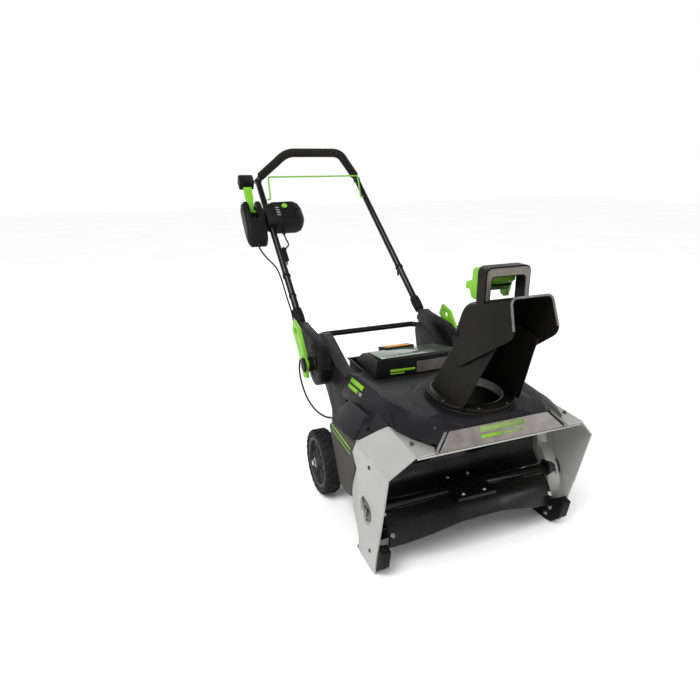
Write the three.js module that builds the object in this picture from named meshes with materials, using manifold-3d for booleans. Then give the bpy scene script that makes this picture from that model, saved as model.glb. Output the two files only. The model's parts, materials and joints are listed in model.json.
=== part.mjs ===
// Battery single-stage snow thrower with a 22-inch clearing width.
// Machine frame, millimetres: +X is the operator's right seen from the front, +Y runs from the
// auger to the handle, +Z is up. Y is 0 at the front top corner of the side plates.
import * as THREE from 'three';
import { mergeVertices } from 'three/addons/utils/BufferGeometryUtils.js';
import Module from 'manifold-3d';

const wasm = await Module();
wasm.setup();

// ---------------------------------------------------------------- driving dimensions
const PLATE_X = 295;              // outer face of the side plates
const PLATE_T = 4;                // side plate sheet
const GAP = 0.4;                  // gap between touching pieces
const PAN_X = 265;                // inner face of the dished end pans
const AUGER = { y: 125, z: 157 }; // auger axis
const AUGER_R = 104;              // paddle tip radius
const SHAFT_R = 12.5;             // auger shaft
const WHEEL = { x: 283, y: 494, z: 103, r: 103, width: 54 };
const RING = { y: 134, z: 435, r: 117, bore: 85, tilt: 0.08 };
const FOLD = { x: 239, y: 640, z: 378 };          // handle fold axis
const LEG_LOW = [239, 811, 438];                  // handle tube at the fold fitting
const LEG_TOP = [228, 1461, 940];                 // upper bend of the handle
const TUBE_R = 12.5;                              // handle tube
const MOTOR = { y: 318, z: 262, r: 50 };          // drive motor axis
const BELT_X = 303;                               // middle of the belt

// ---------------------------------------------------------------- materials
function finish(color, roughness, metalness = 0) {
  return new THREE.MeshStandardMaterial({ color, roughness, metalness });
}
const silver = finish('#bdbdb5', 0.45, 0.2);
const charcoal = finish('#3a3a3e', 0.6);
const black = finish('#1c1c1d', 0.55);
const rubber = finish('#161616', 0.85);
const lime = finish('#82cd2d', 0.45);
const trim = finish('#8c827a', 0.4, 0.5);
const panel = finish('#5a5752', 0.55);
const steel = finish('#9a9a9a', 0.35, 0.9);
const glass = finish('#7a8c7e', 0.2);
const foam = finish('#1b1a18', 0.95);

const machine = new THREE.Group();
const V = (x, y, z) => new THREE.Vector3(x, y, z);

function add(name, geometry, material, parent = machine) {
  const mesh = new THREE.Mesh(geometry, material);
  mesh.name = name;
  parent.add(mesh);
  return mesh;
}

// ---------------------------------------------------------------- solids and booleans
function solid(geometry) {
  const bare = geometry.clone();
  bare.deleteAttribute('normal');
  bare.deleteAttribute('uv');
  const merged = mergeVertices(bare, 1e-4);
  const mesh = new wasm.Mesh({
    numProp: 3,
    vertProperties: new Float32Array(merged.attributes.position.array),
    triVerts: new Uint32Array(merged.index.array),
  });
  return new wasm.Manifold(mesh);
}

function geometryOf(manifold) {
  const mesh = manifold.getMesh();
  const geometry = new THREE.BufferGeometry();
  geometry.setAttribute('position', new THREE.BufferAttribute(mesh.vertProperties, 3));
  geometry.setIndex(new THREE.BufferAttribute(mesh.triVerts, 1));
  return geometry;
}

const join = (...parts) => geometryOf(parts.map(solid).reduce((a, b) => a.add(b)));
const cut = (body, ...tools) => geometryOf(tools.map(solid).reduce((a, b) => a.subtract(b), solid(body)));

function box(x0, x1, y0, y1, z0, z1) {
  const geometry = new THREE.BoxGeometry(x1 - x0, y1 - y0, z1 - z0);
  return geometry.translate((x0 + x1) / 2, (y0 + y1) / 2, (z0 + z1) / 2);
}

// Rod with its axis along 'x', 'y' or 'z'
function rod(axis, centre, radius, length, sides = 24, radiusEnd = radius) {
  const geometry = new THREE.CylinderGeometry(radiusEnd, radius, length, sides);
  if (axis === 'x') geometry.rotateZ(-Math.PI / 2);
  if (axis === 'z') geometry.rotateX(Math.PI / 2);
  return geometry.translate(...centre);
}

// Ring or disc by turning a closed (radius, height) outline about an axis
function turned(axis, centre, outline, sides = 32) {
  const area = outline.reduce((sum, [r, h], i) => {
    const [rb, hb] = outline[(i + 1) % outline.length];
    return sum + r * hb - rb * h;
  }, 0);
  const ordered = area > 0 ? outline : [...outline].reverse();
  const points = ordered.map(([r, h]) => new THREE.Vector2(r, h));
  const geometry = new THREE.LatheGeometry([...points, points[0]], sides);
  if (axis === 'x') geometry.rotateZ(-Math.PI / 2);
  if (axis === 'z') geometry.rotateX(Math.PI / 2);
  return geometry.translate(...centre);
}

// Outline in (y, z), given thickness from x0 to x1
function sideProfile(outline, x0, x1, holes = []) {
  const shape = new THREE.Shape(outline.map(([y, z]) => new THREE.Vector2(y, z)));
  shape.holes = holes.map((hole) => new THREE.Path(hole.map(([y, z]) => new THREE.Vector2(y, z))));
  const geometry = new THREE.ExtrudeGeometry(shape, { depth: x1 - x0, bevelEnabled: false });
  const toSide = new THREE.Matrix4().makeBasis(V(0, 1, 0), V(0, 0, 1), V(1, 0, 0));
  return geometry.applyMatrix4(toSide).translate(x0, 0, 0);
}

// Flat sheet from its corner points, thickened against its normal
function sheet(corners, thickness) {
  const points = corners.map((p) => V(...p));
  const u = points[1].clone().sub(points[0]).normalize();
  const normal = u.clone().cross(points[2].clone().sub(points[0])).normalize();
  const v = normal.clone().cross(u);
  const flat = points.map((p) => {
    const d = p.clone().sub(points[0]);
    return new THREE.Vector2(d.dot(u), d.dot(v));
  });
  const geometry = new THREE.ExtrudeGeometry(new THREE.Shape(flat), { depth: thickness, bevelEnabled: false });
  const basis = new THREE.Matrix4().makeBasis(u, v, normal).setPosition(points[0]);
  return geometry.applyMatrix4(basis);
}

// Closed skin through rings of the same number of points, flat at both ends
function loft(rings) {
  const count = rings[0].length;
  const positions = rings.flat().flat();
  const index = [];
  for (let i = 0; i + 1 < rings.length; i += 1) {
    for (let j = 0; j < count; j += 1) {
      const k = (j + 1) % count;
      const [a, b, c, d] = [i * count + j, i * count + k, (i + 1) * count + k, (i + 1) * count + j];
      index.push(a, b, c, a, c, d);
    }
  }
  const last = (rings.length - 1) * count;
  for (let j = 1; j + 1 < count; j += 1) {
    index.push(0, j + 1, j, last, last + j, last + j + 1);
  }
  const geometry = new THREE.BufferGeometry();
  geometry.setAttribute('position', new THREE.Float32BufferAttribute(positions, 3));
  geometry.setIndex(index);
  const volume = solid(geometry).volume();
  if (volume > 0) return geometry;
  for (let i = 0; i < index.length; i += 3) [index[i], index[i + 1]] = [index[i + 1], index[i]];
  geometry.setIndex(index);
  return geometry;
}

// Points of straight runs joined by round bends of the given reach
function bentLine(points, bend, steps = 6) {
  const line = [V(...points[0])];
  for (let i = 1; i + 1 < points.length; i += 1) {
    const corner = V(...points[i]);
    const back = V(...points[i - 1]).sub(corner);
    const ahead = V(...points[i + 1]).sub(corner);
    const reach = Math.min(bend, back.length() / 2.2, ahead.length() / 2.2);
    const start = corner.clone().add(back.setLength(reach));
    const end = corner.clone().add(ahead.setLength(reach));
    line.push(...new THREE.QuadraticBezierCurve3(start, corner, end).getPoints(steps));
  }
  line.push(V(...points[points.length - 1]));
  return line;
}

// Tube with a ring of the given number of sides at each point of a line
function tube(line, radius, sides) {
  const side = V(0, 0, 0);
  const rings = line.map((point, i) => {
    const before = line[Math.max(i - 1, 0)];
    const after = line[Math.min(i + 1, line.length - 1)];
    const ahead = after.clone().sub(point).normalize();
    ahead.add(point.clone().sub(before).normalize()).normalize();
    if (i === 0) side.copy(Math.abs(ahead.z) > 0.9 ? V(1, 0, 0) : V(0, 0, 1)).cross(ahead);
    side.addScaledVector(ahead, -side.dot(ahead)).normalize();
    const other = ahead.clone().cross(side);
    return Array.from({ length: sides }, (_, j) => {
      const angle = (2 * Math.PI * j) / sides;
      const p = point.clone();
      p.addScaledVector(side, radius * Math.cos(angle)).addScaledVector(other, radius * Math.sin(angle));
      return p.toArray();
    });
  });
  return loft(rings);
}

const wire = (points, radius, sides = 8, steps = 40) => {
  const curve = new THREE.CatmullRomCurve3(points.map((p) => V(...p)), false, 'centripetal');
  return tube(curve.getSpacedPoints(steps), radius, sides);
};
const bentTube = (points, bend, radius, sides = 16) => tube(bentLine(points, bend), radius, sides);

const arc = (cy, cz, r, from, to, steps) => Array.from({ length: steps + 1 }, (_, i) => {
  const angle = ((from + ((to - from) * i) / steps) * Math.PI) / 180;
  return [cy + r * Math.cos(angle), cz + r * Math.sin(angle)];
});

const round = (cy, cz, r, sides = 24) => arc(cy, cz, r, 0, 360 - 360 / sides, sides - 1);
const mirrorX = (geometry) => {
  const copy = geometry.clone().scale(-1, 1, 1);
  const corners = copy.index ? copy.index.array : copy.attributes.position.array.slice(0, copy.attributes.position.count);
  const index = copy.index ? Array.from(corners) : Array.from(corners.keys());
  for (let i = 0; i < index.length; i += 3) [index[i], index[i + 1]] = [index[i + 1], index[i]];
  copy.setIndex(index);
  return copy;
};
const SIDES = [['left', -1], ['right', 1]];
const onSide = (geometry, sign) => (sign < 0 ? mirrorX(geometry) : geometry);

// Band between a (y, z) line and the same line moved sideways by the thickness
function band(line, thickness) {
  const moved = line.map(([y, z], i) => {
    const [ya, za] = line[Math.max(i - 1, 0)];
    const [yb, zb] = line[Math.min(i + 1, line.length - 1)];
    const length = Math.hypot(yb - ya, zb - za);
    return [y + ((zb - za) / length) * thickness, z - ((yb - ya) / length) * thickness];
  });
  return [...line, ...moved.reverse()];
}

// Outline moved inwards by a distance, or outwards when it is negative
function inset(outline, distance) {
  const n = outline.length;
  const area = outline.reduce((sum, [y, z], i) => {
    const [yb, zb] = outline[(i + 1) % n];
    return sum + y * zb - yb * z;
  }, 0);
  const side = Math.sign(area) * distance;
  return outline.map((p, i) => {
    const a = outline[(i + n - 1) % n];
    const b = outline[(i + 1) % n];
    const u = new THREE.Vector2(p[0] - a[0], p[1] - a[1]).normalize();
    const v = new THREE.Vector2(b[0] - p[0], b[1] - p[1]).normalize();
    const cosine = 1 + u.dot(v);
    return [p[0] - (side * (u.y + v.y)) / cosine, p[1] + (side * (u.x + v.x)) / cosine];
  });
}

// ---------------------------------------------------------------- auger housing
const SKID = [[76, 6], [96, 0], [195, 0], [176, 26], [146, 28], [84, 74], [59, 95], [36, 90], [46, 37]];

function sidePlate(sign) {
  const outline = [
    [92, 4], [70, 8], [49, 108], [26, 200], [6, 289], [0, 315], [181, 325], [181, 330], [212, 281], [200, 264],
    [184, 248], ...arc(108, 153, 107, 20, -55, 8), [173, 16], [164, 5],
  ];
  const flat = sideProfile(outline, PLATE_X - PLATE_T, PLATE_X, [round(AUGER.y, AUGER.z, 36)]);
  const front = [PLATE_X, 0, 315];
  const chamfer = sheet([front, [PLATE_X, 183, 325], [235, 130, 381], [235, -19, 373]].reverse(), PLATE_T);
  const top = sheet([[235, -19, 373], [235, 130, 381], [178, 30, 376], [178, -19, 373]].reverse(), PLATE_T);
  return onSide(join(flat, chamfer, top), sign);
}

// Dished pan inside each plate: a flare from the plate down to a flat floor that carries the bearing
function endPan(sign) {
  const inner = arc(214, 123, 109, 118, 238, 10);
  const outer = arc(211, 107, 127, 118, 212, 10);
  const rear = [
    [178, 40], [196, 84], [208, 124], [212, 154], [204, 190], [180, 246], [197, 262], [208, 279], [192, 310],
  ];
  const near = [...inner, ...rear];
  const far = [...outer, ...rear];
  const floor = near.map(([y, z]) => [PAN_X, y, z]);
  const rim = far.map(([y, z]) => [PLATE_X - PLATE_T + 1, y, z]);
  const shaftHole = rod('x', [PAN_X, AUGER.y, AUGER.z], 24, 80, 24);
  const skidRoom = sideProfile(inset(SKID, -GAP), 200, 300);
  return onSide(cut(loft([floor, rim]), shaftHole, skidRoom), sign);
}

const HOUSING_LINE = [
  [-17, 364], [170, 366], [214, 330], [232, 262], ...arc(AUGER.y, AUGER.z, 110, 8, -58, 8), [191, 34],
];

function augerHousing() {
  const half = PAN_X - GAP;
  const wrap = sideProfile(band(HOUSING_LINE, -3), -half, half);
  const outlet = rod('z', [0, RING.y, 372], RING.bore + 4, 60, 40);
  const corners = [1, -1].map((s) => box(s > 0 ? 231 : -400, s > 0 ? 400 : -231, -60, 190, 300, 400));
  return cut(wrap, outlet, ...corners);
}

for (const [name, sign] of SIDES) {
  add(`side_plate_${name}`, join(sidePlate(sign), endPan(sign)), silver);
}
add('auger_housing', augerHousing(), black);
add('scraper_bar', box(-262, 262, 186, 192, 5, 33.4), steel);

// ---------------------------------------------------------------- skids
const SKID_BOLTS = [[86, 47], [100, 20]];
for (const [name, sign] of SIDES) {
  const body = sideProfile(SKID, 265, PLATE_X - PLATE_T - GAP, SKID_BOLTS.map(([y, z]) => round(y, z, 4.4, 12)));
  add(`skid_${name}`, onSide(body, sign), rubber);
}

// ---------------------------------------------------------------- auger
function paddleRings(start, r0, r1, t = 4.5) {
  const rings = [];
  const half = 252;
  const steps = 28;
  for (let i = 0; i <= steps; i += 1) {
    const x = -half + (2 * half * i) / steps;
    const sweep = Math.max(Math.abs(x) - 60, 0) / (half - 60);
    const angle = start + 0.62 * sweep ** 1.3;
    const hook = 0.42;
    const tip = r1 - 10 * (1 - sweep);
    const line = [[r0, angle], [(r0 + tip) / 2, angle + hook * 0.25], [tip, angle + hook]];
    const place = ([r, a], side) => {
      const y = AUGER.y + r * Math.cos(a) - side * t * Math.sin(a);
      const z = AUGER.z + r * Math.sin(a) + side * t * Math.cos(a);
      return [x, y, z];
    };
    rings.push([...line.map((p) => place(p, 1)), ...line.reverse().map((p) => place(p, -1))]);
  }
  return rings;
}
const PADDLE_START = [3.2, 3.2 + Math.PI];
const clampPlate = (angle) => {
  const plate = box(-58, 58, 8, 56, 0, 12);
  const other = box(-58, 58, 8, 56, -12, 0);
  return join(plate, other).rotateX(angle).translate(0, AUGER.y, AUGER.z);
};
const shaftRod = rod('x', [6, AUGER.y, AUGER.z], SHAFT_R, 596, 24);
const paddleRoom = PADDLE_START.map((start) => loft(paddleRings(start, SHAFT_R + 3.6, AUGER_R - 1.5, 6)));
add('auger_shaft', cut(join(shaftRod, ...PADDLE_START.map(clampPlate)), ...paddleRoom), steel);
PADDLE_START.forEach((start, i) => {
  add(`auger_paddle_${i + 1}`, loft(paddleRings(start, SHAFT_R + 4, AUGER_R - 2)), rubber);
});
for (const [name, sign] of SIDES) {
  const bearing = turned('x', [0, AUGER.y, AUGER.z], [[13, 268], [23, 268], [23, 290], [13, 290]], 32);
  add(`auger_bearing_${name}`, sign < 0 ? mirrorX(bearing) : bearing, steel);
}
add('auger_pulley', turned('x', [BELT_X, AUGER.y, AUGER.z],
  [[13, -6], [58, -6], [52, 0], [58, 6], [13, 6]], 36), steel);

// ---------------------------------------------------------------- drive
const PULLEY_R = { auger: 58, motor: 20 };
const BELT_T = 5;

// Open belt run outside the right plate, round both pulleys
function beltOutline(extra) {
  const [ra, rm] = [PULLEY_R.auger + extra, PULLEY_R.motor + extra];
  const [dy, dz] = [MOTOR.y - AUGER.y, MOTOR.z - AUGER.z];
  const line = (Math.atan2(dz, dy) * 180) / Math.PI;
  const wrap = (Math.acos((ra - rm) / Math.hypot(dy, dz)) * 180) / Math.PI;
  return [
    ...arc(AUGER.y, AUGER.z, ra, line + wrap, line + 360 - wrap, 16),
    ...arc(MOTOR.y, MOTOR.z, rm, line - wrap, line + wrap, 10),
  ];
}
const beltBand = sideProfile(beltOutline(GAP + BELT_T), BELT_X - 5, BELT_X + 5, [beltOutline(GAP).reverse()]);
add('drive_belt', beltBand, rubber);
add('motor_rotor', join(
  rod('x', [205, MOTOR.y, MOTOR.z], 6, 208, 20),
  turned('x', [BELT_X, MOTOR.y, MOTOR.z], [[4, -6], [20, -6], [16, 0], [20, 6], [4, 6]], 28),
), steel);
const motorShell = turned('x', [0, MOTOR.y, MOTOR.z],
  [[7, 108], [MOTOR.r, 108], [MOTOR.r, -20], [0, -20], [0, -14], [MOTOR.r - 5, -14], [MOTOR.r - 5, 102], [7, 102]]);
add('motor_case', motorShell, charcoal);
const coverOuter = sideProfile(beltOutline(13), PLATE_X + GAP, 317);
const coverInner = sideProfile(beltOutline(10), PLATE_X - 1, 314);
add('belt_cover', cut(coverOuter, coverInner), black);

// ---------------------------------------------------------------- side covers
const SIDE_COVER = [[219, 298], [217, 236], [244, 119], [298, 102], [346, 114], [428, 262], [402, 283], [228, 302]];
for (const [name, sign] of SIDES) {
  const outer = loft([
    SIDE_COVER.map(([y, z]) => [222, y, z]),
    SIDE_COVER.map(([y, z]) => [279, y, z]),
    inset(SIDE_COVER, 6).map(([y, z]) => [285, y, z]),
  ]);
  const hollow = sideProfile(inset(SIDE_COVER, 4), 200, 280.5);
  const besideDrum = box(200, 267, 210, 252, 90, 340);
  const shaftHole = rod('x', [285, MOTOR.y, MOTOR.z], 12, 30, 24);
  const tools = sign > 0 ? [hollow, besideDrum, shaftHole] : [hollow, besideDrum];
  add(`side_cover_${name}`, onSide(cut(outer, ...tools), sign), panel);
  // Sloping cap over the cover: inner foot, outer foot, ridge and inner top at three places along it
  const capSkin = loft([
    [[246, 227, 302], [285, 227, 304], [252, 222, 372], [246, 222, 372]],
    [[246, 346, 288], [285, 346, 290], [252, 346, 364], [246, 346, 364]],
    [[246, 402, 283], [285, 402, 285], [262, 402, 318], [246, 402, 330]],
  ]);
  const cap = cut(capSkin, sideProfile(inset(SIDE_COVER, -GAP), 210, 290));
  add(`shoulder_cap_${name}`, onSide(cap, sign), black);
}

// ---------------------------------------------------------------- top shroud
const SHROUD = [
  [-13, 186, 378, 184, 379, 182, 381], [4, 196, 382, 150, 400, 140, 406], [60, 218, 386, 186, 404, 166, 412],
  [95, 232, 386, 200, 407, 172, 415], [200, 234, 387, 206, 416, 175, 420], [226, 242, 352, 208, 417, 172, 420],
  [300, 242, 350, 206, 417, 168, 413], [395, 238, 345, 204, 412, 162, 396], [469.6, 226, 330, 204, 394, 160, 392],
];
const shroudRing = ([y, xb, zb, xs, zs, xt, zt], t, drop) => [
  [xb - t, y, zb - drop], [xs - t, y, zs - t], [xt - t * 0.6, y, zt - t],
  [-xt + t * 0.6, y, zt - t], [-xs + t, y, zs - t], [-xb + t, y, zb - drop],
];
function topShroud() {
  const outer = loft(SHROUD.map((row) => shroudRing(row, 0, 0)));
  const inner = loft(SHROUD.map(([y, ...rest], i) => {
    const ends = { 0: -6, [SHROUD.length - 1]: 474 };
    return shroudRing([ends[i] ?? y, ...rest], 3.5, 40);
  }));
  const bore = rod('z', [0, RING.y, 410], RING.bore + 9, 90, 48);
  const bay = box(-157, 157, 378, 480, 300, 460);
  const underPlate = box(-300, 300, -40, 205, 300, 385.2 - 0.1);
  return cut(outer, inner, bore, bay, underPlate);
}
add('top_shroud', topShroud(), charcoal);
const trimFace = [[186, -14, 378.5], [140, 3.2, 406], [-140, 3.2, 406], [-186, -14, 378.5]];
add('front_trim', sheet(trimFace.map(([x, y, z]) => [x * 0.96, y - 2.6, z + 1.2]).reverse(), 1.6), trim);

// ---------------------------------------------------------------- battery bay, packs and lid
const BAY = { x: 150, y0: 384, y1: 598, z0: 258, z1: 396 };
const bayOuter = box(-BAY.x, BAY.x, BAY.y0, BAY.y1, BAY.z0, BAY.z1);
const bayInner = box(-BAY.x + 3, BAY.x - 3, BAY.y0 + 3, BAY.y1 - 3, BAY.z0 + 3, BAY.z1 + 5);
const bayFlange = cut(
  box(-156, 156, BAY.y0 - 0.6, 604, BAY.z1 - 4, BAY.z1),
  box(-BAY.x + 3, BAY.x - 3, BAY.y0 + 3, BAY.y1 - 3, 300, 420),
);
add('battery_bay', join(cut(bayOuter, bayInner), bayFlange), black);
add('battery_pack', join(box(-105, 105, 396, 566, 262, 374), box(-50, 50, 412, 550, 373, 386)), charcoal);

const LID_BASE = 398;
function lidSkin(shrink, base) {
  const ring = (w0, w1, y0, y1, bulge, zf, zr) => [
    [-w0, y0, zf], [-w0 * 0.55, y0 - bulge * 0.75, zf], [0, y0 - bulge, zf], [w0 * 0.55, y0 - bulge * 0.75, zf],
    [w0, y0, zf], [w1, y1, zr], [-w1, y1, zr],
  ].map(([x, y, z]) => [x - Math.sign(x) * shrink, y + (y < 450 ? shrink : -shrink), z]);
  return loft([
    ring(152, 144, 389, 560, 8, base, base), ring(150, 140, 391, 556, 9, base + 12, base + 10),
    ring(141, 128, 397, 542, 14, 450 - shrink, 427 - shrink),
  ]);
}
const lidCut = [lidSkin(3, LID_BASE - 5)];
add('lid', cut(lidSkin(0, LID_BASE), ...lidCut), black);
const windowCorners = [[124, 404, 448.9], [112, 530, 429.4], [-112, 530, 429.4], [-124, 404, 448.9]];
add('lid_window', sheet(windowCorners.map(([x, y, z]) => [x, y, z + 0.7]), 1.6), glass);
const latchBlock = loft([
  [[-52, 562, 397], [52, 562, 397], [52, 592, 397], [-52, 592, 397]],
  [[-50, 561, 424], [50, 561, 424], [50, 590, 420], [-50, 590, 420]],
]);
add('lid_latch', latchBlock, black);

// ---------------------------------------------------------------- side frames, floor, axle, wheels
const ARM = [
  [470.4, 70], [470.4, 384], [547, 388], [637, 424], [704, 452], [736, 448], [752, 416], [734, 352], [690, 308],
  [640, 268], [602, 226], [590, 90], [560, 60], [500, 60],
];
const AXLE_R = 6.5;
const CROSSBAR = [[-191, 728, 418], [-191, 789, 426], [191, 789, 426], [191, 728, 418]];
const crossbarRoom = bentTube(CROSSBAR, 30, 10 + GAP, 14);
for (const [name, sign] of SIDES) {
  const arm = sideProfile(ARM, 170, 213);
  const axleHole = rod('x', [190, WHEEL.y, WHEEL.z], AXLE_R + GAP, 80, 16);
  const boltHole = rod('x', [190, FOLD.y, FOLD.z], 5.4, 80, 16);
  add(`side_frame_${name}`, onSide(cut(arm, axleHole, boltHole, crossbarRoom), sign), black);
}
const TUB_LINE = [[248, 200], [246, 120], [262, 62], [470, 56], [556, 58], [588, 92], [599, 228], [599, 258]];
const tubWall = sideProfile(band(TUB_LINE, 4), -169.6, 169.6);
add('floor_pan', cut(tubWall, rod('x', [0, WHEEL.y, WHEEL.z], AXLE_R + GAP, 400, 16)), black);
add('control_board', box(-150, -146, 270, 372, 215, 330), panel);
add('axle', rod('x', [0, WHEEL.y, WHEEL.z], AXLE_R, 2 * (WHEEL.x + WHEEL.width / 2 + 6), 20), steel);

function tyre(sign) {
  const h = WHEEL.width / 2;
  const outline = [[80, -h + 4], [96, -h], [103, -h + 8], [103, h - 8], [96, h], [80, h - 4]];
  return turned('x', [sign * WHEEL.x, WHEEL.y, WHEEL.z], outline, 40);
}
function hub(sign) {
  const centre = [sign * WHEEL.x, WHEEL.y, WHEEL.z];
  const rim = turned('x', centre, [[70, -21], [79.6, -21], [79.6, 21], [70, 21]], 40);
  const boss = turned('x', centre, [[AXLE_R + GAP, -24], [20, -24], [20, 24], [AXLE_R + GAP, 24]], 20);
  const spokes = Array.from({ length: 6 }, (_, i) => {
    const bar = box(-10, 10, -7, 7, 18, 73);
    return bar.rotateX((i * Math.PI) / 3 + Math.PI / 6).translate(...centre);
  });
  return join(rim, boss, ...spokes);
}
for (const [name, sign] of SIDES) {
  add(`tyre_${name}`, tyre(sign), rubber);
  add(`wheel_hub_${name}`, hub(sign), black);
}

// ---------------------------------------------------------------- handle frame
const legPoint = (sign, t, dx = 0) => [0, 1, 2].map((k) =>
  (LEG_LOW[k] + (LEG_TOP[k] - LEG_LOW[k]) * t) * (k === 0 ? sign : 1) + (k === 0 ? dx : 0));
const FOOT = legPoint(1, -0.09);
const TOP_BAR = [117, 1379, 1046];
const mirrored = ([x, ...yz]) => [-x, ...yz];
const handlePoints = [mirrored(FOOT), mirrored(LEG_TOP), mirrored(TOP_BAR), TOP_BAR, LEG_TOP, FOOT];
// The tube is open at both feet
const BELOW_FOOT = legPoint(1, -0.11);
const boreLine = [mirrored(BELOW_FOOT), ...handlePoints.slice(1, -1), BELOW_FOOT];
const HANDLE_BEND = 34;
add('handle_tube', cut(
  bentTube(handlePoints, HANDLE_BEND, TUBE_R),
  bentTube(boreLine, HANDLE_BEND, TUBE_R - 2),
), black);

// Foam sleeve over the top bar and both slopes
const foamEnd = [LEG_TOP[0] - 9, LEG_TOP[1] - 8, LEG_TOP[2] + 10];
const foamLine = bentLine([mirrored(foamEnd), mirrored(TOP_BAR), TOP_BAR, foamEnd], HANDLE_BEND);
add('foam_grip', cut(tube(foamLine, 17.5, 16), bentTube(handlePoints, HANDLE_BEND, TUBE_R + GAP)), foam);
add('crossbar', bentTube(CROSSBAR, 30, 10, 14), black);

for (const [name, sign] of SIDES) {
  const socketLine = [[610, 330], [700, 331], [838, 436], [812, 472], [778, 466], [640, 456], [590, 430], [566, 378]];
  const block = sideProfile(socketLine, 222, 257);
  const fitting = cut(join(block, rod('x', [239.5, FOLD.y, FOLD.z], 72, 35, 40)),
    rod('x', [FOLD.x, FOLD.y, FOLD.z], 5.4, 80, 16), bentTube(handlePoints, HANDLE_BEND, TUBE_R + GAP + 0.1));
  add(`handle_fitting_${name}`, onSide(fitting, sign), black);
}
const FITTING_OUT = 257;
for (const [name, sign] of SIDES) {
  // Pivot bolt through fitting and side frame, with a washer head inside
  const bolt = join(rod('x', [226, FOLD.y, FOLD.z], 5, 116, 16), rod('x', [167, FOLD.y, FOLD.z], 11, 5, 20));
  add(`pivot_bolt_${name}`, onSide(bolt, sign), steel);

  // Cam lever: boss on the bolt, a flat arm up to a finger loop and a short tail
  const boss = rod('x', [269, FOLD.y, FOLD.z], 20, 22, 28);
  const blade = sideProfile([
    [618, 340], [655, 330], [672, 372], [735, 432], [770, 462], [752, 500], [700, 486], [640, 420],
  ], 281, 291);
  const loopHole = sideProfile([[708, 452], [738, 462], [734, 482], [712, 474]], 270, 300);
  const lever = cut(join(blade, rod('x', [275, FOLD.y, FOLD.z], 19, 32, 28)), loopHole,
    rod('x', [250, FOLD.y, FOLD.z], 5 + GAP, 70, 16), box(200, FITTING_OUT + GAP, 500, 900, 200, 600));
  add(`cam_lever_${name}`, onSide(lever, sign), lime);
}

// ---------------------------------------------------------------- controls on the left leg
// Leg frame: x as the machine, y up along the leg, z square to it towards the front
const legDirection = V(0, LEG_TOP[1] - LEG_LOW[1], LEG_TOP[2] - LEG_LOW[2]).normalize();
const LEG_TILT = Math.atan2(legDirection.z, legDirection.y);
function legFrame(t) {
  const frame = new THREE.Group();
  frame.position.set(...legPoint(-1, t));
  frame.rotation.x = LEG_TILT;
  machine.add(frame);
  return frame;
}
const LEAN = Math.atan2(LEG_LOW[0] - LEG_TOP[0], Math.hypot(LEG_TOP[1] - LEG_LOW[1], LEG_TOP[2] - LEG_LOW[2]));
const legRoom = (length) => rod('y', [0, 0, 0], TUBE_R + GAP, length, 24).rotateZ(-LEAN);
const control = legFrame(0.7);
const bodyRing = (x, h, z0, z1) => [[x, -h, z0 + 10], [x, -h + 10, z0], [x, h - 10, z0], [x, h, z0 + 10],
  [x, h, z1 - 12], [x, h - 14, z1], [x, -h + 14, z1], [x, -h, z1 - 12]];
const switchBody = loft([
  bodyRing(-18, 52, -26, 34), bodyRing(20, 64, -30, 44), bodyRing(100, 64, -30, 46), bodyRing(122, 56, -26, 40),
  bodyRing(134, 40, -18, 30),
]);
const buttonWell = rod('z', [62, 22, 45], 12.5, 30, 28);
add('switch_box', cut(switchBody, legRoom(300), buttonWell), black, control);
add('safety_button', rod('z', [62, 22, 44.5], 11.5, 14, 28), lime, control);

// Chute control box outside the leg, with a slot the lever swings in
const joyOutline = [
  [-118, -36], [-114, -6], [-70, 26], [-20, 44], [62, 42], [84, 14], [80, -20], [20, -36], [-80, -46],
];
const joyRing = (x, k) => joyOutline.map(([y, z]) => [x, y * k, z * k]);
const joySolid = loft([joyRing(-104, 0.86), joyRing(-94, 1), joyRing(-34, 1), joyRing(-26, 0.9)]);
const slot = box(-80, -48, -30, 100, -2, 60);
const neck = box(-34, -12, -30, 30, -20, 20);
add('joystick_box', cut(join(joySolid, neck), legRoom(300), slot, box(-19, 60, -100, 100, -100, 100)), black, control);
const stem = join(
  rod('x', [-64, 40, 6], 6, 30.8, 20),
  loft([
    [[-71, 36, 8], [-57, 36, 8], [-57, 46, 8], [-71, 46, 8]].map(([x, y, z]) => [x, y, z - 4]),
    [[-80, 96, 30], [-48, 96, 30], [-48, 108, 22], [-80, 108, 22]],
    [[-80, 140, 48], [-48, 140, 48], [-48, 150, 40], [-80, 150, 40]],
  ]),
);
add('joystick_lever', stem, lime, control);
add('joystick_knob', box(-94, -34, 150.6, 198, 24, 66), black, control);

// Bail wire between the legs, below the grip
const BAIL = { y: 1345, z: 862, r: 3.2 };
const bailLine = [
  [-216, BAIL.y, BAIL.z], [-203, BAIL.y, BAIL.z], [-201, 1375, 951], [201, 1375, 951], [203, BAIL.y, BAIL.z],
  [216, BAIL.y, BAIL.z],
];
add('bail', bentTube(bailLine, 7, BAIL.r, 10), lime);

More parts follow.
